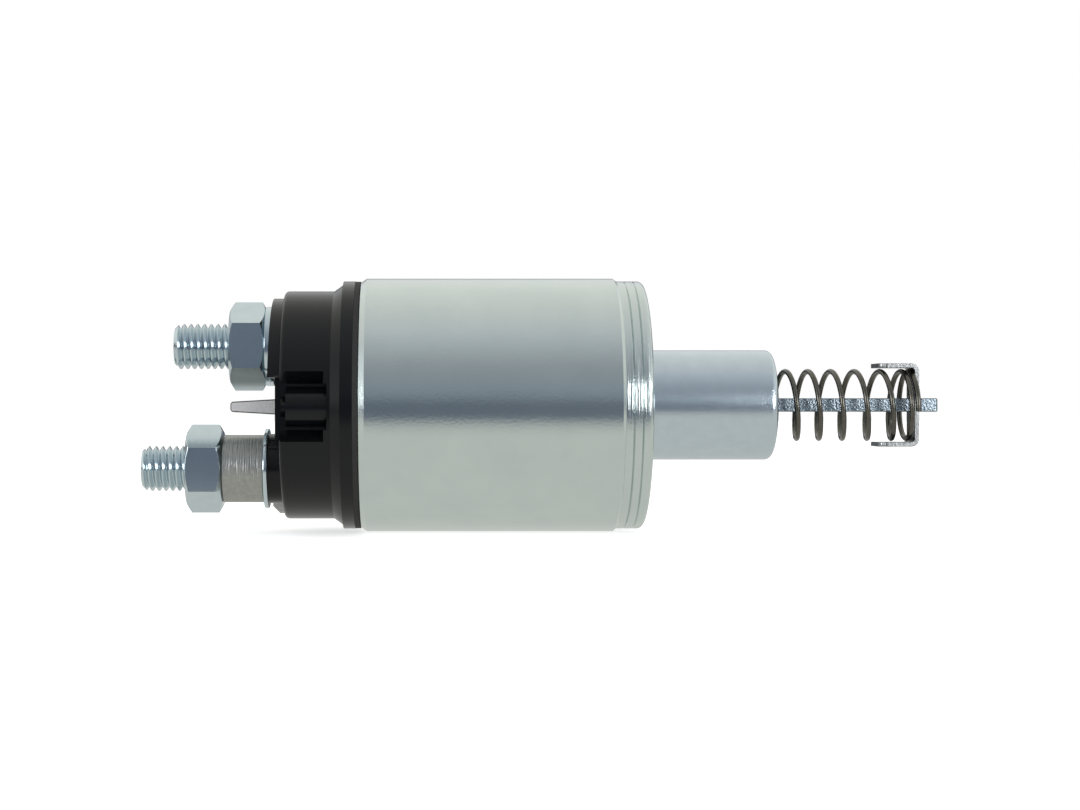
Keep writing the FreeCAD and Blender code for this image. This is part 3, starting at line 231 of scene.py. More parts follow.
# %% [markdown]
# ## Lamps
# Two soft boxes stand left and right of the camera. The smooth can hardly shows them, but
# thread flanks, chamfers and turned rings lean sideways and do: they are the bright dots along the
# threads and the bright patch on the can's grooved band.

# %% Soft boxes
BOX_WIDTH = 0.30
BOX_HEIGHT = 0.28
BOX_POWER = 1.4
AIM = Vector((-0.02, 0.0, 0.0))


def add_soft_box(name, place):
    """A soft box that looks at the object's middle."""
    light = bpy.data.lights.new(name, "AREA")
    light.shape = "RECTANGLE"
    light.size = BOX_WIDTH
    light.size_y = BOX_HEIGHT
    light.energy = BOX_POWER
    holder = bpy.data.objects.new(name, light)
    holder.location = place
    holder.rotation_euler = (AIM - Vector(place)).to_track_quat("-Z", "Y").to_euler()
    bpy.context.scene.collection.objects.link(holder)


add_soft_box("left_softbox", (-0.50, -0.42, 0.06))
add_soft_box("right_softbox", (0.34, -0.50, 0.06))

# %% [markdown]
# ## Floor
# A sheet of white paper lies under the can. To the camera it glows a little, which makes it as
# white as the paper in the photograph and keeps a soft shadow. The light falls from behind, so in
# the metal's reflection the paper gets darker towards the camera, and again far behind the can. Both
# are ramps along the floor's own Y, added for glossy rays.

# %% Floor
FLOOR_SIZE = 6.0
FLOOR_DROP = 0.2 * MM
PAPER_GLOW = 0.62
NEAR_DARK, NEAR_LIGHT = -0.175, -0.060
FAR_LIGHT, FAR_DARK = 0.12, 0.40

bpy.ops.object.select_all(action="DESELECT")
bpy.ops.mesh.primitive_plane_add(size=FLOOR_SIZE, location=(0, 0, cad_low[2] - FLOOR_DROP))
floor = bpy.context.object
floor.name = "floor"
bpy.ops.object.transform_apply(location=True, rotation=True, scale=True)
paper, tree, shader = new_material("white paper", 0.0, 0.9)
shader.inputs["Base Color"].default_value = colour("f4f4f4")
place = add_node(tree, "ShaderNodeTexCoord", {})
parts = add_node(tree, "ShaderNodeSeparateXYZ", {"Vector": place.outputs["Object"]})
near_share = add_node(tree, "ShaderNodeMapRange", {"Value": parts.outputs["Y"], "From Min": NEAR_DARK,
                                                   "From Max": NEAR_LIGHT},
                      interpolation_type="SMOOTHSTEP")
far_share = add_node(tree, "ShaderNodeMapRange", {"Value": parts.outputs["Y"], "From Min": FAR_DARK,
                                                  "From Max": FAR_LIGHT},
                     interpolation_type="SMOOTHSTEP")
lit = add_node(tree, "ShaderNodeMath", {0: near_share.outputs["Result"],
                                        1: far_share.outputs["Result"]}, operation="MULTIPLY")
paper_tone = add_node(tree, "ShaderNodeMix", {0: lit.outputs["Value"], 6: colour("6a7280"),
                                              7: colour("d6d6d1")}, data_type="RGBA")
mirrored = add_node(tree, "ShaderNodeEmission", {"Color": paper_tone.outputs[2], "Strength": 1.0})
rays = add_node(tree, "ShaderNodeLightPath", {})
glow = add_node(tree, "ShaderNodeMath", {0: rays.outputs["Is Camera Ray"], 1: PAPER_GLOW},
                operation="MULTIPLY")
shader.inputs["Emission Color"].default_value = (1.0, 1.0, 1.0, 1.0)
tree.links.new(glow.outputs["Value"], shader.inputs["Emission Strength"])
surface = add_node(tree, "ShaderNodeMixShader", {0: rays.outputs["Is Glossy Ray"],
                                                 1: shader.outputs["BSDF"],
                                                 2: mirrored.outputs["Emission"]})
tree.links.new(surface.outputs["Shader"], tree.nodes["Material Output"].inputs["Surface"])
floor.data.materials.append(paper)
floor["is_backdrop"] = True
print("floor at", round(floor.bound_box[0][2] / MM, 2), "mm")

# %% [markdown]
# ## Zinc plating
# Most of the object is mild steel with a coat of zinc a few micrometres thick. It is grown in a
# bath, so it is a fine, slightly lumpy skin: a mirror that is a little blurred, with a fine sparkle
# where it is seen at a steep angle. An even grey would look like paint, so each zinc finish is a metal
# whose tone drifts in soft blotches, with a bump of small lumps. The can was drawn over a punch before
# plating and has the smoothest skin.

# %% Zinc finishes
def blotched_tone(tree, shader, light_hex, dark_hex, size):
    """Lets the base colour drift between two tones in soft blotches of a given size."""
    place = add_node(tree, "ShaderNodeTexCoord", {})
    blotches = add_node(tree, "ShaderNodeTexNoise", {"Vector": place.outputs["Object"],
                                                     "Scale": 1.0 / size, "Detail": 4.0,
                                                     "Roughness": 0.6})
    tone = add_node(tree, "ShaderNodeMix", {0: blotches.outputs["Fac"], 6: colour(dark_hex),
                                            7: colour(light_hex)}, data_type="RGBA")
    tree.links.new(tone.outputs[2], shader.inputs["Base Color"])
    return place


def lumps(tree, place, size, height, stretch=(1.0, 1.0, 1.0)):
    """A bump of small lumps, which may be stretched along an axis."""
    stretched = add_node(tree, "ShaderNodeMapping", {"Vector": place.outputs["Object"],
                                                     "Scale": stretch})
    noise = add_node(tree, "ShaderNodeTexNoise", {"Vector": stretched.outputs["Vector"],
                                                  "Scale": 1.0 / size, "Detail": 2.0,
                                                  "Roughness": 0.55})
    return add_node(tree, "ShaderNodeBump", {"Height": noise.outputs["Fac"], "Distance": height})


def finish(name, metallic, roughness, light_hex, dark_hex, tone_size, lump_size, lump_height,
           stretch=(1.0, 1.0, 1.0)):
    """A whole finish: a tone that drifts in blotches, and one bump of lumps or rings."""
    material, tree, shader = new_material(name, metallic, roughness)
    place = blotched_tone(tree, shader, light_hex, dark_hex, tone_size)
    bump = lumps(tree, place, lump_size, lump_height, stretch)
    tree.links.new(bump.outputs["Normal"], shader.inputs["Normal"])
    return material


# The can's zinc is pale and very slightly green. Its front band was turned, so fine rings
# run round it there, and the rings spread the side lamps into one bright patch.
BAND_REAR = -5.9 * MM
BAND_EDGE = 0.3 * MM

can_zinc, tree, shader = new_material("zinc plating on drawn steel", 1.0, 0.17)
place = blotched_tone(tree, shader, "d7e0de", "cad4d3", 9 * MM)
skin = lumps(tree, place, 0.60 * MM, 0.020 * MM)
rings = lumps(tree, place, 0.30 * MM, 0.16 * MM, (1.0, 0.02, 0.02))
parts = add_node(tree, "ShaderNodeSeparateXYZ", {"Vector": place.outputs["Object"]})
on_band = add_node(tree, "ShaderNodeMapRange", {"Value": parts.outputs["X"],
                                                "From Min": BAND_REAR - BAND_EDGE,
                                                "From Max": BAND_REAR + BAND_EDGE,
                                                "To Min": 0.01, "To Max": 1.0})
tree.links.new(on_band.outputs["Result"], rings.inputs["Strength"])
tree.links.new(skin.outputs["Normal"], rings.inputs["Normal"])
tree.links.new(rings.outputs["Normal"], shader.inputs["Normal"])

# The plunger was ground before plating. Its zinc is bluer and sparkles a little.
plunger_zinc = finish("zinc plating on ground steel", 1.0, 0.22, "d0dce3", "c3cfd6", 3 * MM,
                      0.40 * MM, 0.026 * MM)

# The drawbar was cut from strip. Its flat faces show the grains of the zinc most.
bar_zinc = finish("zinc plating on rolled strip", 1.0, 0.24, "a9b5bd", "6c7983", 0.5 * MM,
                  0.50 * MM, 0.12 * MM)

# Bought fasteners have bright zinc: bluish, smooth and nearly a mirror.
fastener_zinc = finish("bright zinc plating", 1.0, 0.16, "d3dfe4", "c3d0d6", 4 * MM, 0.5 * MM,
                       0.004 * MM)
print("zinc finishes:", can_zinc.name, plunger_zinc.name, bar_zinc.name, fastener_zinc.name)

# %% [markdown]
# ## Bare and other metals
# The spacer is turned steel without a coat: warmer and darker, with the fine rings of the
# lathe tool. The springs are oil-tempered wire, which is dark brown-grey with a soft shine. The
# clip is bright strip, and the blade and the lug are dull with tin. Inside are core steel, copper and
# brass. A bump that is stretched along or round the axis stands for drawing lines or turned rings.

# %% Metals without zinc
spacer_steel = finish("turned bare steel", 1.0, 0.38, "b9bab6", "90918d", 0.9 * MM, 0.35 * MM, 0.14 * MM,
                      (1.0, 0.06, 0.06))
spring_wire = finish("oil-tempered spring wire", 1.0, 0.26, "74726b", "504e47", 1.2 * MM,
                     0.40 * MM, 0.030 * MM)
clip_strip = finish("bright steel strip", 1.0, 0.34, "b4b6b6", "888a8a", 1.0 * MM, 0.45 * MM,
                    0.050 * MM)

# Tin is soft and dull: it scatters light widely, so it looks pale even where the room is dark.
# Where the die sheared the strip there is no tin, and the bare edge is dark. That dark colour is partly
# painted shade: it also stands for the dark room mirrored in the rounded edges.
tin_plate = finish("dull tin plating on strip", 0.75, 0.55, "e9e8e8", "bfbdbd", 0.45 * MM,
                   0.40 * MM, 0.060 * MM, (0.5, 1.0, 1.0))
# Dark rim colour: partly bare steel, partly painted shade for the dark reflection on rounded edges.
bare_edge_and_painted_shade = finish("sheared strip edge and painted shade", 1.0, 0.45, "6a6766", "4a4848", 0.5 * MM, 0.25 * MM,
                      0.020 * MM)

# The core is plain turned steel, darker than the spacer. Brass is drawn and copper is pressed, so both
# have long faint lines and a soft shine.
core_steel = finish("turned core steel", 1.0, 0.38, "8b8e90", "707375", 3 * MM, 0.25 * MM, 0.012 * MM,
                    (1.0, 0.05, 0.05))
sleeve_brass = finish("drawn brass", 1.0, 0.28, "d8b468", "bd954a", 4 * MM, 0.30 * MM, 0.004 * MM,
                      (0.05, 1.0, 1.0))
disc_copper = finish("bright copper", 1.0, 0.26, "e0977a", "c47a5a", 3 * MM, 0.30 * MM, 0.006 * MM,
                     (0.05, 1.0, 1.0))

# The windings are round enamelled wires side by side, so waves along X stand for the turns. A wave
# pattern of scale 1 has bands 0.31 long.
BAND_LENGTH = 0.31
WIRE_SPACING = 0.9 * MM

coil_copper, tree, shader = new_material("enamelled copper wire", 1.0, 0.25)
place = blotched_tone(tree, shader, "c46f42", "9c4d24", 4 * MM)
turns = add_node(tree, "ShaderNodeTexWave", {"Vector": place.outputs["Object"],
                                             "Scale": BAND_LENGTH / WIRE_SPACING},
                 wave_type="BANDS", bands_direction="X")
ridges = add_node(tree, "ShaderNodeBump", {"Height": turns.outputs["Fac"], "Distance": 0.3 * MM})
tree.links.new(ridges.outputs["Normal"], shader.inputs["Normal"])
print("turns of wire per 10 mm in the windings:", round(10 * MM / WIRE_SPACING, 1))

# %% [markdown]
# ## Mouldings, rubber and paper
# The cap is a black thermoset, moulded and glossy. Its mirror image of the room is weak, so it
# looks near-black in front and dark grey above. A very fine grain breaks the gloss, and a larger,
# hardly visible swell keeps long highlights from being ruler-straight, as in any real moulding.

# %% Mouldings, rubber and paper
cap_moulding, tree, shader = new_material("black thermoset moulding", 0.0, 0.20)
shader.inputs["Specular IOR Level"].default_value = 0.30
place = blotched_tone(tree, shader, "0c0e10", "060809", 5 * MM)
grain = lumps(tree, place, 0.30 * MM, 0.0035 * MM)
swell = lumps(tree, place, 6.0 * MM, 0.02 * MM)
tree.links.new(swell.outputs["Normal"], grain.inputs["Normal"])
tree.links.new(grain.outputs["Normal"], shader.inputs["Normal"])

# Pressed fibre is matt and a little hairy. Seal rubber has a faint sheen. Natural nylon is a warm
# white with a soft gloss, phenolic is brown and harder, and the coil's paper is yellow with varnish.
gasket_fibre = finish("fibre gasket sheet", 0.0, 0.75, "2a2a29", "1a1a1a", 0.6 * MM, 0.20 * MM,
                      0.02 * MM)
seal_rubber = finish("black seal rubber", 0.0, 0.6, "1e1e1e", "141414", 2 * MM, 0.25 * MM, 0.008 * MM)
bobbin_nylon = finish("natural nylon moulding", 0.0, 0.42, "e8e3d5", "dad4c4", 4 * MM, 0.30 * MM,
                      0.005 * MM)
bush_phenolic = finish("brown phenolic", 0.0, 0.4, "4e3120", "3a2312", 1.5 * MM, 0.25 * MM,
                       0.008 * MM)
wrap_paper = finish("varnished coil paper", 0.0, 0.45, "bda36e", "a08755", 2 * MM, 0.40 * MM,
                    0.015 * MM, (0.2, 1.0, 1.0))
print("materials so far:", len(bpy.data.materials))

# %% [markdown]
# ## A finish for every solid
# A solid that keeps its own mesh gets its material here. The pieces that are modelled again below
# use the same materials, so a solid and the piece that stands for it always agree.

# %% Finishes of the solids
finish_of_node = {
    "solenoid_can": can_zinc,
    "plunger": plunger_zinc,
    "drawbar": bar_zinc,
    "spring_clip": clip_strip,
    "terminal_cap": cap_moulding,
    "cap_gasket": gasket_fibre,
    "battery_stud": fastener_zinc,
    "motor_stud": fastener_zinc,
    "battery_nut": fastener_zinc,
    "motor_nut": fastener_zinc,
    "battery_lock_washer": fastener_zinc,
    "motor_split_washer": fastener_zinc,
    "motor_spacer": spacer_steel,
    "blade_terminal": tin_plate,
    "winding_lug": tin_plate,
    "battery_stud_seal": seal_rubber,
    "motor_stud_seal": seal_rubber,
    "cap_screw_near": fastener_zinc,
    "cap_screw_far": fastener_zinc,
    "fixed_core": core_steel,
    "guide_sleeve": sleeve_brass,
    "coil_bobbin": bobbin_nylon,
    "hold_in_winding": coil_copper,
    "pull_in_winding": coil_copper,
    "winding_wrap": wrap_paper,
    "return_spring": spring_wire,
    "release_spring": spring_wire,
    "contact_return_spring": spring_wire,
    "contact_spring": spring_wire,
    "push_rod": core_steel,
    "contact_disc": disc_copper,
    "disc_bush_front": bush_phenolic,
    "disc_bush_rear": bush_phenolic,
    "rod_clip": spring_wire,
}
for node, material in finish_of_node.items():
    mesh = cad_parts[node].data
    mesh.materials.clear()
    mesh.materials.append(material)
print("solids with a finish:", len(finish_of_node), "of", len(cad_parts))

# %% [markdown]
# ## Ways to model
# Most pieces here are turned, threaded or cut from bar, so they start as an outline, drawn as by
# hand: a point is placed and then extruded from corner to corner. The outline is spun round an axis,
# run along it by the Screw modifier, or extruded sideways. Holes, flats and chamfers are cut with
# booleans, as a mill would cut them, and a small bevel takes the sharpness off every edge.

# %% Helpers for modelling
def only(piece):
    """Selects one piece and nothing else."""
    bpy.ops.object.select_all(action="DESELECT")
    piece.select_set(True)
    bpy.context.view_layer.objects.active = piece


def begin(name, point):
    """Starts a piece as a single point, and stays in edit mode."""
    bpy.ops.object.select_all(action="DESELECT")
    bpy.ops.mesh.primitive_plane_add(size=MM, location=point)
    piece = bpy.context.object
    piece.name = name
    bpy.ops.object.transform_apply(location=True, rotation=True, scale=True)
    bpy.ops.object.mode_set(mode="EDIT")
    bpy.ops.mesh.select_mode(type="VERT")
    bpy.ops.mesh.select_all(action="SELECT")
    bpy.ops.mesh.merge(type="CENTER")
    return piece


def draw(points):
    """Extrudes the last point to each next one."""
    for before, after in zip(points, points[1:]):
        step = Vector(after) - Vector(before)
        bpy.ops.mesh.extrude_region_move(TRANSFORM_OT_translate={"value": step})


def close_up(distance=0.001 * MM):
    """Merges doubled points, closes open ends and turns every face outwards."""
    bpy.ops.mesh.select_all(action="SELECT")
    bpy.ops.mesh.remove_doubles(threshold=distance)
    bpy.ops.mesh.select_all(action="DESELECT")
    bpy.ops.mesh.select_non_manifold(extend=False, use_wire=False, use_boundary=True,
                                     use_multi_face=False, use_non_contiguous=False, use_verts=False)
    bpy.ops.mesh.edge_face_add()
    bpy.ops.mesh.select_all(action="SELECT")
    bpy.ops.mesh.normals_make_consistent(inside=False)
    bpy.ops.object.mode_set(mode="OBJECT")


def apply_modifier(piece, kind, **settings):
    """Adds one modifier with its settings and applies it at once."""
    only(piece)
    modifier = piece.modifiers.new(kind.lower(), kind)
    for name, value in settings.items():
        setattr(modifier, name, value)
    bpy.ops.object.modifier_apply(modifier=modifier.name)


def turned(name, outline, height=0.0, steps=96):
    """Spins a closed outline of (place along X, radius) pairs round an axis at a height."""
    points = [(along, 0.0, height + radius) for along, radius in outline + outline[:1]]
    piece = begin(name, points[0])
    draw(points)
    bpy.ops.mesh.select_all(action="SELECT")
    bpy.ops.mesh.spin(steps=steps, angle=2 * math.pi, center=(0, 0, height), axis=(1, 0, 0))
    close_up()
    return piece


def rotate_points(piece, degrees, axis, centre):
    """Turns all points of a piece round a centre."""
    only(piece)
    bpy.ops.object.mode_set(mode="EDIT")
    bpy.ops.mesh.select_all(action="SELECT")
    bpy.ops.transform.rotate(value=math.radians(degrees), orient_axis=axis, orient_type="GLOBAL",
                             center_override=centre)
    bpy.ops.object.mode_set(mode="OBJECT")


def box_between(name, low, high):
    """A block between two corners, used as a cutter."""
    bpy.ops.object.select_all(action="DESELECT")
    size = Vector(high) - Vector(low)
    bpy.ops.mesh.primitive_cube_add(size=1.0, location=(Vector(low) + Vector(high)) / 2, scale=size)
    piece = bpy.context.object
    piece.name = name
    bpy.ops.object.transform_apply(location=True, rotation=True, scale=True)
    return piece


def combine(piece, tool, operation):
    """Joins, cuts or keeps the common part of two pieces, and throws the tool away."""
    apply_modifier(piece, "BOOLEAN", operation=operation, object=tool, solver="EXACT")
    bpy.data.objects.remove(tool)


def soften(piece, width, angle=30, segments=2):
    """A small round on every edge that is sharper than an angle."""
    apply_modifier(piece, "BEVEL", width=width, segments=segments, limit_method="ANGLE",
                   angle_limit=math.radians(angle), harden_normals=False, use_clamp_overlap=True)


def complete(piece, node, body, angle=30):
    """Settles a finished piece at the origin, gives it its finish, hangs it on its body and hides the
    solid that it stands for.
    """
    only(piece)
    bpy.ops.object.transform_apply(location=True, rotation=True, scale=True)
    bpy.ops.object.shade_smooth_by_angle(angle=math.radians(angle))
    apply_modifier(piece, "WEIGHTED_NORMAL", weight=60, keep_sharp=True)
    piece.data.materials.clear()
    piece.data.materials.append(finish_of_node[node])
    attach(piece, body)
    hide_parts(node)
    print(piece.name, "faces:", len(piece.data.polygons))


# %% [markdown]
# ## Threaded studs
# An M10 thread has a pitch of 1.5 mm. It could be a bump pattern, but it shows in outline at both
# studs, so it is real geometry. A lathe cuts a thread by running a V-shaped tool along the bar, and
# this does the same: the outline of the groove runs along the stud with the Screw modifier, and a
# boolean takes it away from a chamfered bar. The chamfer and the thread's end come out by themselves.
# Inside the cap each stud has a plain shank and a head with two flats.

# %% Studs
PITCH = 1.5 * MM
STUD_RADIUS = 5.0 * MM
STUD_CHAMFER = 1.0 * MM
THREAD_DEPTH = 0.60 * PITCH
PLAIN_SHANK = 6.0 * MM
HEAD_RADIUS = 7.0 * MM
HEAD_HALF_FLAT = 5.6 * MM
HEAD_HEIGHT = 4.0 * MM
# Where the photograph shows a crest on top of each stud, along X.
BATTERY_CREST = -98.44 * MM
MOTOR_CREST = -106.2 * MM


def thread_groove(name, start, end, height, crest_on_top):
    """The V-shaped groove of a right-handed thread along X, as a solid to cut with."""
    root = STUD_RADIUS - THREAD_DEPTH
    fillet = root + 0.06 * THREAD_DEPTH
    outside = STUD_RADIUS + 0.12 * MM
    # Shares of a pitch along X, and radii.
    outline = [(0.04, outside), (0.42, fillet), (0.47, root), (0.53, root), (0.58, fillet),
               (0.96, outside)]
    begin_at = crest_on_top - math.ceil((crest_on_top - start) / PITCH + 1) * PITCH
    turns = math.ceil((end - begin_at) / PITCH)
    points = [(begin_at + along * PITCH, 0.0, height + radius)
              for along, radius in outline + outline[:1]]
    groove = begin(name, points[0])
    draw(points)
    bpy.ops.mesh.select_all(action="SELECT")
    bpy.ops.mesh.remove_doubles(threshold=0.001 * MM)
    bpy.ops.object.mode_set(mode="OBJECT")
    bpy.context.scene.cursor.location = (0, 0, height)
    bpy.ops.object.origin_set(type="ORIGIN_CURSOR")
    apply_modifier(groove, "SCREW", axis="X", angle=2 * math.pi, screw_offset=PITCH,
                   iterations=turns, steps=40, render_steps=40)
    bpy.ops.object.mode_set(mode="EDIT")
    close_up(0.0001 * MM)
    return groove


def threaded_stud(name, node, crest_on_top, height):
    """A stud with a rolled thread, a plain shank and a head with two flats."""
    outer_end, head_face = ends_of(node)
    head_seat = head_face - HEAD_HEIGHT
    thread_end = head_seat - PLAIN_SHANK
    bar = turned(name, [(outer_end, 0.0), (outer_end, STUD_RADIUS - STUD_CHAMFER),
                        (outer_end + STUD_CHAMFER, STUD_RADIUS), (head_seat, STUD_RADIUS),
                        (head_seat, HEAD_RADIUS), (head_face, HEAD_RADIUS), (head_face, 0.0)], height, 80)
    groove = thread_groove(name + "_groove", outer_end, thread_end, height, crest_on_top)
    combine(bar, groove, "DIFFERENCE")
    clear = HEAD_RADIUS + 2 * MM
    for side in (-1, 1):
        flat = box_between(name + "_flat",
                           (head_seat + 0.01 * MM, side * HEAD_HALF_FLAT, height - clear),
                           (head_face + MM, side * clear, height + clear))
        combine(bar, flat, "DIFFERENCE")
    complete(bar, node, "housing", 35)


threaded_stud("battery_stud_threaded", "battery_stud", BATTERY_CREST, battery_z)
threaded_stud("motor_stud_threaded", "motor_stud", MOTOR_CREST, motor_z)

# %% [markdown]
# ## Nuts
# A hexagon nut starts as a six-sided bar. A lathe then turns a 30 degree chamfer on both
# faces, which leaves the round arcs that every nut shows where its corners were, and the bore is
# countersunk so that the thread starts clean. The same three cuts are made here. The arcs and soft
# edges are what catches the light in the photograph.

# %% Nuts
NUT_FLATS = 17.0 * MM
FACE_INSET = 0.3 * MM
BLANK_MARGIN = 0.4 * MM
BORE_GAP = 0.03 * MM
SINK_WIDTH = 0.55 * MM
SINK_DEPTH = 0.5 * MM


def hexagon_nut(name, node, height):
    """A nut of six flats, one of them towards the viewer, with chamfers and a countersunk bore."""
    rear, front = ends_of(node)
    middle = ((rear + front) / 2, 0, height)
    half = NUT_FLATS / 2
    corner = half / math.cos(math.radians(30))
    bpy.ops.object.select_all(action="DESELECT")
    bpy.ops.mesh.primitive_cylinder_add(vertices=6, radius=corner, depth=front - rear,
                                        location=middle, rotation=(0, math.radians(90), 0))
    nut = bpy.context.object
    nut.name = name
    bpy.ops.object.transform_apply(location=True, rotation=True, scale=True)
    rotate_points(nut, 30, "X", middle)
    face = half - FACE_INSET
    rim = corner + BLANK_MARGIN
    slope = (rim - face) * math.tan(math.radians(30))
    blank = turned(name + "_blank", [(rear, 0.0), (rear, face), (rear + slope, rim),
                                     (front - slope, rim), (front, face), (front, 0.0)], height)
    combine(nut, blank, "INTERSECT")
    bore = STUD_RADIUS + BORE_GAP
    sink = STUD_RADIUS + SINK_WIDTH
    drill = turned(name + "_drill", [(rear - MM, 0.0), (rear - MM, sink), (rear, sink),
                                     (rear + SINK_DEPTH, bore), (front - SINK_DEPTH, bore),
                                     (front, sink), (front + MM, sink), (front + MM, 0.0)], height)
    combine(nut, drill, "DIFFERENCE")
    soften(nut, 0.16 * MM, 22)
    complete(nut, node, "housing", 25)


hexagon_nut("battery_nut_chamfered", "battery_nut", battery_z)
hexagon_nut("motor_nut_chamfered", "motor_nut", motor_z)

# %% [markdown]
# ## Washers and spacer
# A split washer is a turn of square wire, cut at a slant. It is spun as a ring with rounded
# edges and then slit. The upper one is thick, and its slit is behind. The lower one is thin, and its
# slit faces the viewer. The spacer is a turned tube between the lower nut and its washer.

# %% Washers and spacer
WASHER_INNER, WASHER_OUTER = 5.2 * MM, 8.8 * MM
WASHER_EDGE = 0.16 * MM
SLIT_HALF_WIDTH = 0.35 * MM
SPACER_RADIUS = 7.5 * MM
SPACER_CHAMFER = 0.3 * MM


def split_washer(name, node, height, slit_side, slit_height):
    """A ring with a slanted slit on the viewer's side (-1) or behind (1)."""
    rear, front = ends_of(node)
    inner, outer, edge = WASHER_INNER, WASHER_OUTER, WASHER_EDGE
    ring = turned(name, [(rear, inner), (rear, outer - edge), (rear + 0.3 * edge, outer - 0.3 * edge),
                         (rear + edge, outer), (front - edge, outer),
                         (front - 0.3 * edge, outer - 0.3 * edge), (front, outer - edge),
                         (front, inner)], height)
    slit = box_between(name + "_slit",
                       (rear - 3 * MM, 3 * MM * slit_side, slit_height - SLIT_HALF_WIDTH),
                       (front + 3 * MM, 12 * MM * slit_side, slit_height + SLIT_HALF_WIDTH))
    rotate_points(slit, 35, "Y", ((rear + front) / 2, 0, slit_height))
    combine(ring, slit, "DIFFERENCE")
    complete(ring, node, "housing")


split_washer("battery_lock_washer_split", "battery_lock_washer", battery_z, 1, battery_z)
split_washer("motor_split_washer_slit", "motor_split_washer", motor_z, -1, motor_z + 0.5 * MM)

spacer_rear, spacer_front = ends_of("motor_spacer")
spacer_face = SPACER_RADIUS - SPACER_CHAMFER
spacer = turned("motor_spacer_turned", [
    (spacer_rear, WASHER_INNER), (spacer_rear, spacer_face),
    (spacer_rear + SPACER_CHAMFER, SPACER_RADIUS), (spacer_front - SPACER_CHAMFER, SPACER_RADIUS),
    (spacer_front, spacer_face), (spacer_front, WASHER_INNER),
], motor_z, 128)
complete(spacer, "motor_spacer", "housing")

# %% [markdown]
# ## Flat pieces
# The blade and the lug are stamped from strip, the drawbar is cut from bar and the clip is bent from
# strip. All four start as one flat outline that is extruded, which is also how a stamp makes them.
# What tells them from plain blocks is small: soft edges, the dark rim of the blade (partly bare sheared
# steel, partly painted shade), the bends of the clip and the slot and notches that a punch left in it.

# %% Helpers for flat pieces
def extruded(name, points, step):
    """A closed outline of points in space, filled and extruded by a step."""
    piece = begin(name, points[0])
    draw(points + points[:1])
    bpy.ops.mesh.select_all(action="SELECT")
    bpy.ops.mesh.remove_doubles(threshold=0.001 * MM)
    bpy.ops.mesh.edge_face_add()
    bpy.ops.mesh.extrude_region_move(TRANSFORM_OT_translate={"value": step})
    close_up()
    return piece


def stamped(name, outline, low, high):
    """An outline of (place along X, height) pairs, extruded over the width of a solid's box."""
    return extruded(name, [(x, low[1], z) for x, z in outline], (0, high[1] - low[1], 0))


def arc(centre_x, centre_z, radius, start, end, steps=6):
    """Points of an arc in the plane of X and Z, as (along X, height) pairs, angles in degrees."""
    angles = [math.radians(start + (end - start) * index / steps) for index in range(steps + 1)]
    return [(centre_x + radius * math.cos(a), centre_z + radius * math.sin(a)) for a in angles]


def paint_bare_and_shaded_rim(piece, face_side=0.98):
    """Gives the rim, which faces neither the viewer nor away, a dark colour: partly bare sheared steel,
    partly painted shade.
    """
    piece.data.materials.append(bare_edge_and_painted_shade)
    rim = 0
    for face in piece.data.polygons:
        if abs(face.normal.y) < face_side:
            face.material_index = 1
            rim += 1
    print(piece.name, "rim faces:", rim)


# %% Blade and lug
# The blade is as wide as its root up to the face of the cap's web, and tapers from there. The lug's
# neck starts at the cap's end face.
WEB_FACE = -80.1 * MM
LUG_NECK = -78.8 * MM
low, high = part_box("blade_terminal")
level = (low[2] + high[2]) / 2
root, tip, corner = 1.7 * MM, 1.125 * MM, 0.4 * MM
blade_outline = [(high[0], level - root), (high[0], level + root), (WEB_FACE, level + root),
                 (low[0] + corner, level + tip), (low[0], level + tip - corner),
                 (low[0], level - tip + corner), (low[0] + corner, level - tip), (WEB_FACE, level - root)]
blade = stamped("blade_terminal_stamped", blade_outline, low, high)
soften(blade, 0.24 * MM, segments=3)
complete(blade, "blade_terminal", "housing")
# The blade's rim is painted dark: partly bare sheared steel, partly painted shade.
paint_bare_and_shaded_rim(blade)

low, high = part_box("winding_lug")
step_level, cut_corner = low[2] + 1.5 * MM, 1.6 * MM
lug_outline = [(high[0], step_level), (high[0], high[2]), (low[0], high[2]),
               (low[0], low[2] + cut_corner), (low[0] + cut_corner, low[2]), (LUG_NECK, low[2]),
               (LUG_NECK, step_level)]
lug = stamped("winding_lug_stamped", lug_outline, low, high)
soften(lug, 0.15 * MM)
complete(lug, "winding_lug", "housing")

# %% Drawbar
low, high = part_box("drawbar")
spring_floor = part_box("release_spring")[0][0]
thickness, bar_half, head_half = 3.0 * MM, 2.5 * MM, 4.0 * MM
head_start, round_off = high[0] - 3.8 * MM, 0.7 * MM
shank_radius, shank_chamfer = 5.0 * MM, 0.5 * MM
near_corner = arc(high[0] - round_off, -head_half + round_off, round_off, -90, 0, 4)
far_corner = arc(high[0] - round_off, head_half - round_off, round_off, 0, 90, 4)
bar_outline = [(low[0], -bar_half), (head_start, -bar_half), (head_start, -head_half), *near_corner,
               *far_corner, (head_start, head_half), (head_start, bar_half), (low[0], bar_half)]
drawbar = extruded("drawbar_rolled", [(x, y, -thickness / 2) for x, y in bar_outline],
                   (0, 0, thickness))
soften(drawbar, 0.28 * MM, 40, 3)
shank = turned("drawbar_shank", [(low[0], 0.0), (low[0], shank_radius - shank_chamfer),
                                 (low[0] + shank_chamfer, shank_radius),
                                 (spring_floor, shank_radius), (spring_floor, 0.0)], 0.0, 64)
combine(drawbar, shank, "UNION")
complete(drawbar, "drawbar", "plunger")

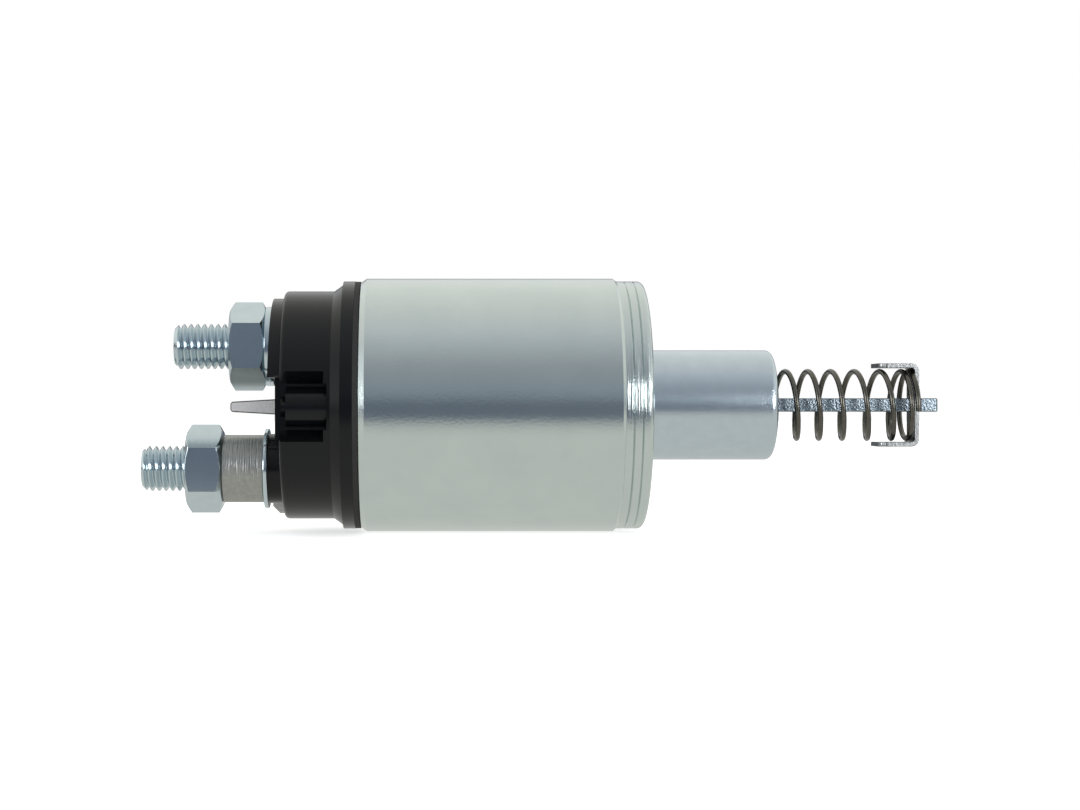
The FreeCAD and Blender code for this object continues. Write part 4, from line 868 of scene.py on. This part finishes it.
# %% Clip
low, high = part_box("spring_clip")
sheet, bend = 1.0 * MM, 0.7 * MM
slot_half_width, slot_half_height = 2.8 * MM, 1.8 * MM
notch_radius, notch_place = 0.5 * MM, 1.4 * MM
outer, inner, top = high[0], high[0] - sheet, high[2]
outside = [(low[0], -top), *arc(outer - bend - sheet, -top + bend + sheet, bend + sheet, -90, 0),
           *arc(outer - bend - sheet, top - bend - sheet, bend + sheet, 0, 90), (low[0], top)]
inside = [(low[0], top - sheet), *arc(inner - bend, top - sheet - bend, bend, 90, 0),
          *arc(inner - bend, -top + sheet + bend, bend, 0, -90), (low[0], -top + sheet)]
clip = stamped("spring_clip_bent", outside + inside, low, high)
slot = box_between("clip_slot", (inner - MM, -slot_half_width, -slot_half_height),
                   (outer + MM, slot_half_width, slot_half_height))
combine(clip, slot, "DIFFERENCE")
for side in (low[1], high[1]):
    bpy.ops.object.select_all(action="DESELECT")
    bpy.ops.mesh.primitive_cylinder_add(vertices=32, radius=notch_radius, depth=24 * MM,
                                        location=(low[0] + notch_place, side, 0))
    punch = bpy.context.object
    bpy.ops.object.transform_apply(location=True, rotation=True, scale=True)
    combine(clip, punch, "DIFFERENCE")
soften(clip, 0.13 * MM, 32)
complete(clip, "spring_clip", "clip")

# %% [markdown]
# ## Springs
# The release spring is cold-wound from round wire. Its turns are close together at both ends and
# open between, and the last bit of wire springs out past the clip. A curve with a round section follows
# such a path best. Its path is a list of places along X, each with the number of turns that the wire
# has made by then, and a smooth line runs through them. Whole turns are on the viewer's side. The
# springs inside are wound in the same way. Three of the four springs then get a mesh of their own.
# The contact spring rides with the disc.

# %% Springs
STEPS = 36
WIRE_SIDES = 6
SMOOTHING = 0.12


def wound_spring(name, places, mean_radius, wire_radius):
    """A right-handed wire along X. Places are pairs of a number of turns and millimetres along X."""
    def along(turn):
        turn = min(max(turn, places[0][0]), places[-1][0])
        for (before, low), (after, high) in zip(places, places[1:]):
            if turn <= after:
                return low + (high - low) * (turn - before) / (after - before)

    curve = bpy.data.curves.new(name, "CURVE")
    curve.dimensions = "3D"
    curve.bevel_depth = wire_radius
    curve.bevel_resolution = WIRE_SIDES
    curve.use_fill_caps = True
    total = round(places[-1][0] * STEPS)
    wire = curve.splines.new("POLY")
    wire.points.add(total)
    for index, point in enumerate(wire.points):
        turn = places[-1][0] * index / total
        smooth = (along(turn - SMOOTHING) + 2 * along(turn) + along(turn + SMOOTHING)) / 4
        turned_by = 2 * math.pi * turn
        point.co = (smooth * MM, -mean_radius * math.cos(turned_by),
                    -mean_radius * math.sin(turned_by), 1.0)
    piece = bpy.data.objects.new(name, curve)
    bpy.context.scene.collection.objects.link(piece)
    only(piece)
    bpy.ops.object.convert(target="MESH")
    piece = bpy.context.object
    bpy.ops.object.mode_set(mode="EDIT")
    close_up(0.0001 * MM)
    return piece


def plain_places(node, wire_radius, open_turns):
    """A spring with one closed turn at each end that fills the length of its solid."""
    start, end = ends_of(node)
    first = (start + wire_radius) / MM
    last = (end - wire_radius) / MM
    rise = 2.2 * wire_radius / MM
    return [(0, first), (1, first + rise), (1 + open_turns, last - rise), (2 + open_turns, last)]


release_places = [
    (0, 26.78), (1, 28.06), (2, 33.3), (3, 38.2), (4, 43.3), (5, 48.6), (5.5, 51.7), (6, 54.2),
    (6.5, 56.9), (6.75, 57.7), (7, 58.5), (7.25, 58.9), (7.8, 59.3), (8.03, 60.0),
]
springs = {}
# Each row is a solid, its body, its wire's mean radius and own radius, and its open turns.
for node, body, mean_radius, wire_radius, open_turns in (
    ("release_spring", "plunger", 7.45 * MM, 0.59 * MM, None),
    ("return_spring", "housing", 5.9 * MM, 0.6 * MM, 5),
    ("contact_spring", "contact", 4.9 * MM, 0.5 * MM, 3),
    ("contact_return_spring", "housing", 3.5 * MM, 0.35 * MM, 2),
):
    places = plain_places(node, wire_radius, open_turns) if open_turns else release_places
    springs[node] = wound_spring(node + "_wire", places, mean_radius, wire_radius)
    complete(springs[node], node, body, 60)

# %% Three springs get meshes of their own
for node, joint in (("release_spring", "clip_slide"), ("return_spring", "plunger_slide"),
                    ("contact_return_spring", "contact_slide")):
    piece = springs[node]
    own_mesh(piece)

# %% [markdown]
# ## The boxes
# The visual model must not be larger than the solids. Both boxes are printed.

# %% Sizes
low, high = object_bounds()
print("visual box:", [round(value / MM, 2) for value in low], [round(value / MM, 2) for value in high])
